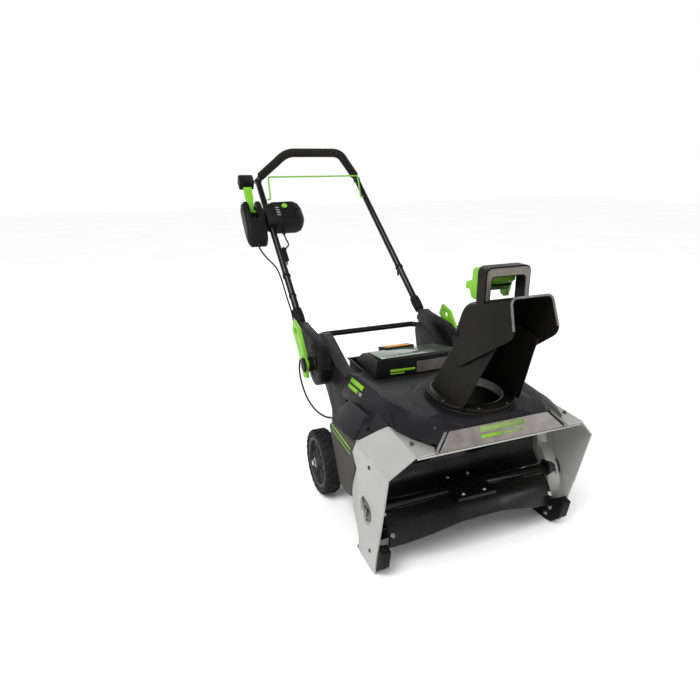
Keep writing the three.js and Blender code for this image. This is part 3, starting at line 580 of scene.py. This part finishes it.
def paddle(start, inner=16.5, outer=102.0, thick=4.5):
    """One moulded paddle: a twisted, hooked blade with a rolled tip."""
    loops = []
    half, steps, across_steps = 252, 84, 9
    for i in range(steps + 1):
        x = -half + 2 * half * i / steps
        sweep_part = max(abs(x) - 60, 0) / (half - 60)
        angle = start + 0.62 * sweep_part ** 1.3
        tip = outer - 10 * (1 - sweep_part)
        front, back = [], []
        for k in range(across_steps + 1):
            t = k / across_steps
            r = inner + (tip - inner) * t
            a = angle + 0.42 * (0.5 * t if t < 0.5 else 0.25 + 1.5 * (t - 0.5)) * (0.9 + 0.1 * t)
            grow = thick * (0.82 if 0.1 < t < 0.85 else 1.0)
            normal = Vector((0, -math.sin(a), math.cos(a)))
            point = Vector((x, AUGER[0] + r * math.cos(a), AUGER[1] + r * math.sin(a)))
            front.append(point + normal * grow)
            back.append(point - normal * grow)
        loops.append(front + back[::-1])
    return rings(loops)


def auger_paddles():
    for i, start in enumerate(PADDLE_STARTS):
        name = f"auger_paddle_{i + 1}"
        build(f"{name}_moulded", [paddle(start)], "auger", "rubber", [name], 1.4, 3, 50)


# ---------------------------------------------------------------- wheels
WHEEL = Vector((283, 494, 103))


def tyre(sign):
    centre = Vector((sign * WHEEL.x, WHEEL.y, WHEEL.z))
    side = [(80, -22), (84, -24.5), (90, -26), (95, -25), (98.4, -20), (99.4, -8)]
    outline = side + [(r, -h) for r, h in reversed(side)]
    shapes = [turned(centre, (1, 0, 0), outline, 96)]
    lugs = 26
    for i in range(lugs):
        for row in (-1, 1):
            a = 2 * math.pi * (i + (0.5 if row > 0 else 0)) / lugs
            spoke = Vector((0, math.cos(a), math.sin(a)))
            run = Vector((0, -math.sin(a), math.cos(a)))
            lug = []
            for x, r, skew in ((2, 97, 0), (2, 102.8, 0), (18, 102.4, 5), (25.5, 96.5, 7), (24, 91, 7)):
                lug.append((row * x, r, skew))
            loops = [[centre + Vector((x, 0, 0)) + spoke * r + run * (skew + width) for x, r, skew in lug]
                     for width in (-4.6, 4.6)]
            shapes.append(rings(loops))
    return shapes


def wheel_hub(sign):
    centre = Vector((sign * WHEEL.x, WHEEL.y, WHEEL.z))
    rim = [(69, -23), (79.4, -23), (79.4, 23), (73, 23), (69, 20), (68, 0), (69, -20)]
    boss = [(7, -26), (15, -26), (19, -22), (20, 22), (17, 27), (7, 27)]
    windows = []
    for i in range(6):
        middle = 60 * i + 30
        window = arc(0, 0, 60, middle - 17, middle + 17, 6) + arc(0, 0, 33, middle + 15, middle - 15, 4)
        windows.append(rounded(window, 7, 2))
    out = sign * 6

    def place(u, v):
        return centre + Vector((out - sign * 4, u, v))
    web = pierced(arc(0, 0, 70, 0, 354, 59), windows, place, (sign * 8, 0, 0))
    ribs = []
    taper = ((-4, -10), (4, -10), (3, 15), (-3, 15))
    for i in range(6):
        a = math.radians(60 * i)
        spoke, run = Vector((0, math.cos(a), math.sin(a))), Vector((0, -math.sin(a), math.cos(a)))
        ribs.append(rings([
            [centre + spoke * r + run * w + Vector((sign * x, 0, 0)) for w, x in taper]
            for r in (17, 70)
        ]))
    return [turned(centre, (sign, 0, 0), rim, 72), turned(centre, (sign, 0, 0), boss, 40), web, *ribs]


def wheels():
    for name, sign in SIDES:
        body = f"wheel_{name}"
        build(f"tyre_{name}_tread", tyre(sign), body, "tyre", [f"tyre_{name}"], 0.9, 2, 32)
        hub = f"wheel_hub_{name}"
        build(f"hub_{name}_spoked", wheel_hub(sign), body, "hub", [hub], 1.2, 2)
        end = (sign * (WHEEL.x + 28), WHEEL.y, WHEEL.z)
        build(f"axle_nut_{name}", hex_bolt(end, (sign, 0, 0), 9, 8), "chassis", "steel", edge=0.6)


# ---------------------------------------------------------------- handle frame
def leg(sign, t, out=0.0):
    """A point on the handle's leg line, t running from the fitting to the upper bend."""
    return Vector((sign * (239 - 11 * t + out), 811 + 650 * t, 438 + 502 * t))


LEG_LINE = (leg(1, 1) - leg(1, 0)).normalized()
LEG_UP = LEG_LINE.cross(Vector((-1, 0, 0))).normalized()
TOP_BAR = Vector((117, 1379, 1046))
CROSSBAR = [(-191, 728, 418), (-191, 789, 426), (191, 789, 426), (191, 728, 418)]
BAIL = [(-216, 1345, 862), (-203, 1345, 862), (-201, 1375, 951), (201, 1375, 951), (203, 1345, 862), (216, 1345, 862)]


def flip(p):
    return Vector((-p.x, p.y, p.z))


def handle_frame():
    foot, top = leg(1, -0.09), leg(1, 1)
    line = bent([flip(foot), flip(top), flip(TOP_BAR), TOP_BAR, top, foot], 34, 12)
    build("handle_tube_drawn", [sweep(line, 12.5, 36)], "handle", "coat", ["handle_tube"])
    end = top + Vector((-9, -8, 10))
    grip = bent([flip(end), flip(TOP_BAR), TOP_BAR, end], 34, 14)
    build("foam_grip_sleeve", [sweep(grip, 17.5, 40)], "handle", "foam", ["foam_grip"])
    build("crossbar_drawn", [sweep(bent(CROSSBAR, 30, 12), 10, 32)], "chassis", "coat", ["crossbar"])
    build("bail_wire", [sweep(bent(BAIL, 7, 8), 3.2, 20)], "bail_wire", "lime", ["bail"])
    for name, sign in SIDES:
        eye = [(12.4, -6), (15.4, -5), (15.4, 5), (12.4, 6)]
        eyes = [turned(leg(sign, t), LEG_LINE, eye, 32) for t in (0.32, 0.985)]
        hook_root = leg(sign, 0.32) - LEG_UP * 13
        loops = [[hook_root + Vector((x, 0, 0)) + LEG_LINE * a + LEG_UP * -h
                  for x, a in ((-4, -9), (4, -9), (4, 9), (-4, 9))] for h in (0, 3)]
        loops.append([hook_root + Vector((x, 0, 0)) + LEG_LINE * (a * 0.4 - 12) - LEG_UP * 21
                      for x, a in ((-3, -9), (3, -9), (3, 9), (-3, 9))])
        hook = rings(loops)
        build(f"leg_clip_{name}", [*eyes, hook], "handle", "plastic", edge=0.8)
        clamp = turned(leg(sign, 0.085), LEG_LINE, [(12.6, -32), (17.5, -29), (19, 0), (17.5, 29), (12.6, 32)], 36)
        build(f"leg_clamp_{name}", [clamp], "handle", "plastic", edge=1)


def fold_fittings():
    """Round pivot covers with their screws, and the cam levers' bosses."""
    pivot = (640, 378)
    for name, sign in SIDES:
        dish = [(66, -2), (66, 2), (60, 4.6), (40, 5), (38, 2.6), (22, 2.6)]
        cover = disc((sign * 256.4, *pivot), (sign, 0, 0), dish, 64)
        screws = [s for a in (20, 110, 200, 290) for s in cap_screw(
            (sign * 259, pivot[0] + 51 * math.cos(math.radians(a)), pivot[1] + 51 * math.sin(math.radians(a))),
            (sign, 0, 0), 4.2, 3)]
        build(f"pivot_cover_{name}", [cover], "handle", "plastic", edge=0.8)
        build(f"pivot_screws_{name}", screws, "handle", "dark_steel", edge=0.3)
        boss = disc((sign * 290.5, *pivot), (sign, 0, 0), [(24, 0), (24, 4.4), (20, 6.4), (8, 7)], 40)
        sleeve = turned((sign * 262, *pivot), (sign, 0, 0), [(19.3, 0), (24, 0), (24, 18.6), (19.3, 18.6)], 40)
        build(f"cam_boss_{name}", [boss, sleeve], f"cam_{name}", "plastic", edge=0.8)


# ---------------------------------------------------------------- chute
RING = Vector((0, 134, 435))
TILT = Matrix.Rotation(0.08, 3, "X")
RING_AXIS = TILT @ Vector((0, 0, 1))


def on_ring(x, y, z):
    return RING + TILT @ Vector((x, y, z))


def chute_ring():
    outline = [(85, -104), (88.6, -104), (88.6, -61), (92, -61), (92, -12), (115.5, -12), (117, -10.4), (117, -5.6),
               (115.5, -4), (101, -4), (100, -5.2), (98.6, -4), (85, -4)]
    build("chute_ring_turned", [turned(RING, RING_AXIS, outline, 96)], "chassis", "chute",
          ["chute_ring"], 0.5, 2, 25)
    collar = [(80.4, -20), (83.4, -20), (83.4, 3.4), (80.4, 3.4)]
    build("outlet_collar_turned", [turned(RING, RING_AXIS, collar, 96)], "chassis", "silver",
          ["outlet_collar"], 0.5)


CHUTE_T = 3.2
CHUTE_STATIONS = [
    ((43, 435, 82), (198, 439, 85, 18)), ((36, 447, 80), (192, 450, 83, 17)), ((8, 514, 71), (154, 522, 72, 8)),
    ((-20, 579, 60.4), (106, 611, 59, 2)), ((-38, 618, 55), (84, 648, 54, 0)),
]


def blended(stations, steps):
    """Stations with straight in-betweens."""
    out = []
    for (fa, ra), (fb, rb) in zip(stations, stations[1:]):
        for i in range(steps):
            t = i / steps
            out.append((tuple(a + (b - a) * t for a, b in zip(fa, fb)), tuple(a + (b - a) * t for a, b in zip(ra, rb))))
    return out + [stations[-1]]


def chute_section(front, rear):
    """Outer then inner line of the open wall, as (x, point in the side view) pairs."""
    (yf, zf, wf), (yr, zr, wr, bulge) = front, rear
    run = Vector((yr - yf, zr - zf))
    length = run.length
    run.normalize()
    half = [(wf, 0), (wr, length - 34), (wr * 0.98, length - 6), (wr * 0.62, length + bulge * 0.35),
            (0, length + bulge)]
    line = curved([Vector((-x, s, 0)) for x, s in half] + [Vector((x, s, 0)) for x, s in half[-2::-1]], 5)
    inner = []
    for i, p in enumerate(line):
        tangent = (line[min(i + 1, len(line) - 1)] - line[max(i - 1, 0)]).normalized()
        inner.append(p + Vector((tangent.y, -tangent.x, 0)) * CHUTE_T)
    return [Vector((p.x, yf + run.x * p.y, zf + run.y * p.y)) for p in line + inner[::-1]]


def chute_wall():
    wall = rings([chute_section(f, r) for f, r in blended(CHUTE_STATIONS, 4)])
    foot = [(85, -3.6), (112, -3.6), (114, -2), (114, 4), (112, 6), (104, 6), (103, 5), (101, 6), (85, 6)]
    base = turned(RING, RING_AXIS, foot, 96)
    build("chute_moulded", [wall, base], "chute_turret", "chute", ["chute"], 0.8, 2, 40)
    screws = [s for a in (200, 248, 292, 340) for s in cap_screw(
        on_ring(107 * math.cos(math.radians(a)), 107 * math.sin(math.radians(a)), 5.8), RING_AXIS, 4, 2.8)]
    build("chute_screws", screws, "chute_turret", "dark_steel", edge=0.3)


# Deflector: panels from the lower edge F up to the roof and back line R
DEFLECTOR_FREE = rounded(
    [(-67, 725, 0.1), (-96, 649, 28), (72, 534, 6), (90, 534, 10), (101, 546, 8), (114, 596, 0.1)], 8, 6)
DEFLECTOR_T = 3.2


def deflector_half(y, z):
    return 54 + 0.045 * (y + 67) - 0.085 * (z - 725)


def spaced(points, count):
    """Points at even spacing along a line of 2-D points."""
    points = [Vector(p) for p in points]
    marks = [0.0]
    for a, b in zip(points, points[1:]):
        marks.append(marks[-1] + (b - a).length)
    out = []
    k = 0
    for i in range(count):
        goal = marks[-1] * i / (count - 1)
        while k < len(points) - 2 and marks[k + 1] < goal:
            k += 1
        span = marks[k + 1] - marks[k]
        out.append(points[k].lerp(points[k + 1], (goal - marks[k]) / span if span else 0))
    return out


def deflector_sections():
    roof = rounded([(-67, 725, 0.1), (92, 681, 26), (116, 606, 0.1)], 8, 10)
    roof = [p for i, p in enumerate(roof) if i == 0 or (Vector(p) - Vector(roof[i - 1])).length > 0.3]
    count = 40
    tops = spaced(roof, count)
    free = DEFLECTOR_FREE
    start = min(range(len(free)), key=lambda i: (Vector(free[i]) - Vector((-92, 660))).length)
    feet = spaced(free[start:-6], count)
    fillet = 15
    sections = []
    for i, (top, foot) in enumerate(zip(tops, feet)):
        ahead = (tops[min(i + 1, count - 1)] - tops[max(i - 1, 0)]).normalized()
        inward = Vector((ahead.y, -ahead.x))
        if inward.dot(foot - top) < 0:
            inward = -inward
        turn_in = top + inward * fillet
        outer, lining = [], []

        def put(x, p, a):
            outer.append(Vector((x, p.x, p.y)))
            lining.append(Vector((x + DEFLECTOR_T * math.cos(a), p.x + DEFLECTOR_T * math.sin(a) * inward.x,
                                  p.y + DEFLECTOR_T * math.sin(a) * inward.y)))
        for k in range(12):
            p = foot.lerp(turn_in, k / 12)
            put(-deflector_half(*p), p, 0)
        for k in range(9):
            a = math.pi / 2 * k / 8
            p = top + inward * fillet * (1 - math.sin(a))
            put(-(deflector_half(*p) - fillet * (1 - math.cos(a))), p, a)
        wide = deflector_half(*top) - fillet
        for k in range(1, 6):
            put(-wide * (1 - k / 5.0), top, math.pi / 2)
        left = list(zip(outer, lining))
        right = [(Vector((-o.x, o.y, o.z)), Vector((-q.x, q.y, q.z))) for o, q in reversed(left[:-1])]
        sections.append(left + right)
    return sections


def deflector():
    sections = deflector_sections()
    shell = rings([[o for o, _ in s] + [q for _, q in reversed(s)] for s in sections])
    build("deflector_moulded", [shell], "deflector_head", "chute", ["deflector"], 0.9, 2, 55)
    mouth = [(o + q) / 2 for o, q in sections[0]]
    tail_left = [(s[0][0] + s[0][1]) / 2 for s in sections[:34]]
    tail_right = [flip(p) for p in tail_left]
    # light grey bead round the mouth: a painted highlight along the rim
    build("deflector_rim_painted_highlight", [sweep(mouth, 2.6, 14)], "deflector_head", "rim")
    lower = [sweep(tail, 2.2, 14) for tail in (tail_left, tail_right)]
    build("deflector_lower_rims", lower, "deflector_head", "chute")
    pin_x = deflector_half(100, 606) - 0.5
    pins = [s for sign in (-1, 1) for s in cap_screw((sign * pin_x, 100, 606), (sign, 0, 0), 7, 4)]
    build("deflector_pins", pins, "deflector_head", "plastic", edge=0.5)


def chute_grip():
    outer = [(-59.5, 690, 1), (-59.5, 774, 17), (59.5, 774, 17), (59.5, 690, 1)]
    inner = [(44, 690, 1), (44, 751, 13), (-44, 751, 13), (-44, 690, 1)]
    outline = rounded(outer, 1) + rounded(inner, 1)
    body = slab([(x, 16, z) for x, z in outline], (0, 30, 0))
    build("chute_handle_moulded", [body], "deflector_head", "chute", ["chute_handle"], 3.2, 3, 50)
    face = rounded([(-56, 700, 1), (-56, 770.4, 14), (56, 770.4, 14), (56, 700, 1)], 1) + \
        rounded([(46.5, 700, 1), (46.5, 753.6, 12), (-46.5, 753.6, 12), (-46.5, 700, 1)], 1)
    facing = slab([(x, 13.6, z) for x, z in face], (0, 4, 0))
    build("chute_handle_trim", [facing], "deflector_head", "trim",
          edge=1.2, segments=3, angle=50)


# ---------------------------------------------------------------- shroud, lid and labels
def shroud_details():
    """The raised, faceted seat round the ring, its screws and the seams."""
    def octagon(reach, cut, z_front, z_rear, y0, y1):
        corners = [(-reach, y0 + cut), (-reach + cut, y0), (reach - cut, y0), (reach, y0 + cut), (reach, y1 - cut),
                   (reach - cut, y1), (-reach + cut, y1), (-reach, y1 - cut)]
        slope = (z_rear - z_front) / (y1 - y0)
        return [(x, y, z_front + slope * (y - y0)) for x, y in corners]
    hole = [tuple(on_ring(93 * math.cos(a), 93 * math.sin(a), -12)) for a in
            (math.radians(-112.5 + 45 * i) for i in range(8))]
    foot = octagon(178, 72, 395, 411, -2, 268)
    shoulder = octagon(150, 58, 411, 424, 14, 252)
    rim = octagon(127, 50, 418, 430, 20, 248)
    loops = [hole] + [loop[1:] + loop[:1] for loop in (rim, shoulder, foot)]
    for loop in (loops[3], hole):
        loops.append([(x, y, z - 14) for x, y, z in loop])
    seat = rings(loops, closed=True)
    build("shroud_seat", [seat], "chassis", "shroud", edge=3, segments=3, angle=10)
    screws = []
    for sign in (-1, 1):
        screws += cap_screw((sign * 158, 34, 404.6), (sign * 0.35, -0.25, 1), 5.2, 3)
        screws += cap_screw((sign * 196, 300, 414.6), (sign * 0.2, 0, 1), 4.6, 3)
    build("shroud_screws", screws, "chassis", "dark_steel", edge=0.3)
    for name, sign in SIDES:
        top = [(232, 124, 385), (233, 203, 389), (244, 229, 356), (256, 222, 371), (284, 226, 305), (292, 186, 328)]
        patch = [(sign * x, y, z) for x, y, z in top]
        shell = [rings([patch, [(x, y, z - 12) for x, y, z in patch]])]
        build(f"shoulder_bridge_{name}", shell, "chassis", "shroud", edge=1.5, segments=2, angle=20)
        seam = [(sign * x, y, z) for x, y, z in
                ((229, 104, 388.4), (204, 200, 409), (186, 262, 413.6), (178, 330, 412), (172, 430, 404))]
        build(f"shroud_seam_{name}", [sweep(curved(seam, 6), 1.7, 8)], "chassis", "plastic")


def trim_point(x, t):
    """A point on the front trim, t from its foot to its top edge."""
    return Vector((x, -19.5 + 22 * t, 369 + 38 * t))


def front_trim():
    """Brushed strip from the drum's lip up to the shroud; its bevelled ends carry light grey bars, a painted highlight.
    """
    corners = [trim_point(x, t) for x, t in ((-176, 0), (176, 0), (139, 1), (-139, 1))]
    build("front_trim_strip", [slab(corners, (0, 4, -2.3))], "chassis", "trim", ["front_trim"], 0.8)
    nose = [[trim_point(s * x, t) + Vector((0, d, -d * 0.5)) for x, t in ((190, 0.0), (152, 1.06))] for s, d in
            ((-1, 1), (-1, 24), (1, 24), (1, 1))]
    block = slab([nose[0][0], nose[0][1], nose[3][1], nose[3][0]], (0, 20, -12))
    build("trim_backing", [block], "chassis", "shroud", edge=2.5, segments=3)
    for name, sign in SIDES:
        # light grey bars along the bevelled ends: a painted highlight
        edge = [trim_point(sign * 186, 0.02) + Vector((0, -0.5, 0)), trim_point(sign * 149, 1.0) + Vector((0, -0.5, 0))]
        build(f"trim_end_highlight_{name}", [sweep(edge, 3.2, 10)], "chassis", "rim")


def stripe(name, corners, lift, look, body="chassis"):
    """A thin printed strip lying on a face."""
    build(name, [slab(corners, lift)], body, look)


def labels():
    for name, sign in SIDES:
        for k, (z, wide) in enumerate(((268, 5.5), (252, 3.2))):
            corners = [(sign * 284.6, y, zz) for y, zz in
                       ((398, z + 9), (255, z), (255, z - wide), (398, z + 9 - wide))]
            stripe(f"cover_stripe_{k + 1}_{name}", corners, (sign * 0.9, 0, 0), "lime_print")
        slope = Vector((34, 0, -66))
        for k, (y0, y1, t0, t1, look) in enumerate((
            (424, 330, 0.16, 0.34, "lime_print"),
            (424, 352, 0.42, 0.56, "lime_print"),
            (344, 322, 0.42, 0.56, "pale_print"),
        )):
            block = []
            for y, t in ((y0, t0), (y0, t1), (y1, t1), (y1, t0)):
                crest = Vector((206.5 - (y - 300) * 0.021, y, 416.5 - (y - 300) * 0.053)) + slope * t
                block.append((sign * crest.x, crest.y, crest.z))
            stripe(f"shoulder_mark_{k + 1}_{name}", block, (sign * 1.5, 0, 0.9), look)
    for k, (x0, x1, t0, t1, look) in enumerate((
        (-60, -3, 0.30, 0.48, "lime_print"), (2, 60, 0.30, 0.42, "pale_lime"), (-60, 64, 0.60, 0.92, "pale_lime"),
    )):
        stripe(f"front_mark_{k + 1}", [trim_point(x, t) for x, t in ((x0, t0), (x1, t0), (x1, t1), (x0, t1))],
               (0, -0.7, 0.4), look)


def lid_details():
    """A panel and printed strips on the lid's nose, the latch tongue and its label."""
    def nose(x, t):
        """A point on the lid's front face, t from its foot to its top edge."""
        bulge = 8 + 6 * t
        lean = 389 + 8 * t - bulge * (1 - (x / 152) ** 2)
        return Vector((x, lean - 0.9, 398 + 52 * t))
    cells = 12

    def band_of(x0, x1, t0, t1):
        loops = []
        for i in range(cells + 1):
            x = x0 + (x1 - x0) * i / cells
            low, high = nose(x, t0), nose(x, t1)
            loops.append([low, high, high + Vector((0, 1.4, 0)), low + Vector((0, 1.4, 0))])
        return rings(loops)
    build("lid_nose_panel", [band_of(-20, 118, 0.1, 0.74)], "battery_lid", "trim", edge=0.4)
    build("lid_nose_stripe", [band_of(-104, -26, 0.3, 0.42)], "battery_lid", "lime_print", edge=0.2)
    low = band_of(-104, -60, 0.16, 0.22)
    build("lid_nose_stripe_low", [low], "battery_lid", "lime_print", edge=0.2)
    tongue = rounded([(-52, 530), (52, 530), (54, 592), (-54, 592)], 9)
    lift = [(x, y, 437 - (y - 530) * 0.22) for x, y in tongue]
    build("latch_tongue", [slab(lift, (0, 0, -6.5))], "latch", "plastic", edge=2, segments=3)
    label = rounded([(-42, 537), (42, 537), (43, 584), (-43, 584)], 5)
    face = [(x, y, 437 - (y - 530) * 0.22) for x, y in label]
    stripe("latch_label", face, (0, 0, 0.7), "orange", "latch")


# ---------------------------------------------------------------- controls
CONTROL = leg(-1, 0.7)


def on_leg(x, y, z):
    """A point in the control frame: y up along the leg, z square to it towards the front."""
    return CONTROL + Vector((x, 0, 0)) + LEG_LINE_FLAT * y + LEG_FACE * z


LEG_LINE_FLAT = Vector((0, 650, 502)).normalized()
LEG_FACE = Vector((0, -502, 650)).normalized()


def control_details():
    collar = turned(on_leg(62, 22, 44), LEG_FACE, [(12.2, 0), (17, 0), (16, 3.4), (12.8, 4.4)], 40)
    build("button_collar", [collar], "handle", "plastic", edge=0.5)
    marks = []
    for x0, y0 in ((22, -2), (22, -16), (22, -30), (22, 12)):
        corners = rounded([(x0, y0), (x0 + 16, y0), (x0 + 16, y0 + 7), (x0, y0 + 7)], 2, 2)
        marks.append(slab([on_leg(x, y, 46.2) for x, y in corners], LEG_FACE * 0.5))
    build("switch_marks", marks, "handle", "pale_print")
    for k, y in enumerate((8, 2, -4)):
        rib = slab([on_leg(x, yy, 45.6) for x, yy in ((96, y), (118, y), (118, y + 3), (96, y + 3))], LEG_FACE * 1.6)
        build(f"switch_rib_{k + 1}", [rib], "handle", "plastic", edge=0.5)
    side = rounded([(-100, -22), (-64, 16), (-16, 30), (52, 26), (66, 2), (10, -24), (-72, -34)], 8)
    plate = slab([on_leg(-104.4, y, z) for y, z in side], (-1.2, 0, 0))
    build("joystick_panel", [plate], "handle", "panel", edge=0.5)
    lip = ((-26, 39), (42, 46), (42, 49), (-26, 42))
    slot_lips = [slab([on_leg(x, y, z) for y, z in lip], (4, 0, 0)) for x in (-84, -48)]
    build("joystick_slot_lips", slot_lips, "handle", "plastic", edge=0.6)
    screws = [s for y, z in ((-76, -10), (50, 10)) for s in cap_screw(on_leg(-105.4, y, z), (-1, 0, 0), 4, 2.6)]
    gland = disc(on_leg(-64.7, -112, -22), -LEG_LINE_FLAT, [(7.5, 0), (7.5, 5), (5, 9), (4.2, 12)], 24)
    low_gland = disc((-188, 1209, 734.5), (0.05, -0.8, -0.6), [(7, -10), (7, 0), (4.4, 5)], 24)
    build("cable_glands", [gland, low_gland], "handle", "rubber", edge=0.6)
    build("joystick_screws", screws, "handle", "dark_steel", edge=0.3)


# ---------------------------------------------------------------- cables
CONTROL_CABLE = [
    (-296, 1183.7, 698), (-298, 1170, 686), (-285, 1124, 658), (-262, 1072, 626), (-257.5, 1019, 592),
    (-258, 941, 532), (-258, 890, 494), (-262.5, 842, 457), (-263, 790, 424), (-264, 735, 405),
]
BODY_LOOP = [
    (-264, 728, 401), (-272, 742, 372), (-276, 752, 330), (-276, 735, 285), (-275, 680, 248), (-273, 600, 236),
    (-268, 520, 244), (-258, 460, 262), (-248, 425, 276),
]
SWITCH_CABLE = [
    (-188, 1206, 731), (-186, 1192, 716), (-184, 1168, 703), (-190, 1146, 695), (-204, 1130, 686),
    (-218, 1095, 662), (-219, 1060, 635),
]
CABLE_R = 3.0


def cable(name, node, route, body):
    line = curved(route, 8)
    made = build(name, [sweep(line, CABLE_R, 16)], body, "cable", [node])
    return made


def cables():
    cable("control_cable_run", "cable_controls", CONTROL_CABLE, BODY["cable_controls"])
    cable("body_loop_run", "cable_loop", BODY_LOOP, BODY["cable_loop"])
    cable("switch_cable_run", "cable_switch", SWITCH_CABLE, BODY["cable_switch"])
    ties = [turned(leg(-1, t), LEG_LINE, [(12.6, -4), (14.6, -3), (14.6, 3), (12.6, 4)], 32) for t in (0.2, 0.12)]
    build("cable_ties", ties, "handle", "plastic", edge=0.5)
    relief = [turned(leg(-1, t, -21), LEG_LINE, [(3.4, -3), (8.2, -2.4), (8.2, 2.4), (3.4, 3)], 24)
              for t in (0.42 + 0.01 * k for k in range(8))]
    spine = sweep([leg(-1, 0.415, -20), leg(-1, 0.5, -20)], 6.6, 20)
    build("strain_relief", [*relief, spine], "handle", "rubber", edge=0.5)


make_camera()
make_stage()

OWN_SHAPE = """handle_tube foam_grip crossbar bail tyre_left tyre_right wheel_hub_left wheel_hub_right chute_ring
outlet_collar
chute deflector chute_handle front_trim cable_controls cable_loop cable_switch auger_paddle_1 auger_paddle_2""".split()
EDGE = {"switch_box": 5, "joystick_box": 4, "joystick_knob": 5, "joystick_lever": 2.5, "lid": 3, "lid_latch": 3,
        "side_cover_left": 4, "side_cover_right": 4, "side_frame_left": 4, "side_frame_right": 4, "cam_lever_left": 2,
        "cam_lever_right": 2, "top_shroud": 2.5, "handle_fitting_left": 3, "handle_fitting_right": 3,
        "deflector_trigger": 2.5, "safety_button": 2, "shoulder_cap_left": 3, "shoulder_cap_right": 3}
for node in LOOK:
    if node not in OWN_SHAPE:
        softened(node, EDGE.get(node, 1.2), 3 if node in EDGE else 2)

plate_fasteners()
housing_details()
auger_details()
auger_paddles()
wheels()
handle_frame()
fold_fittings()
chute_ring()
chute_wall()
deflector()
chute_grip()
shroud_details()
front_trim()
labels()
lid_details()
control_details()
cables()
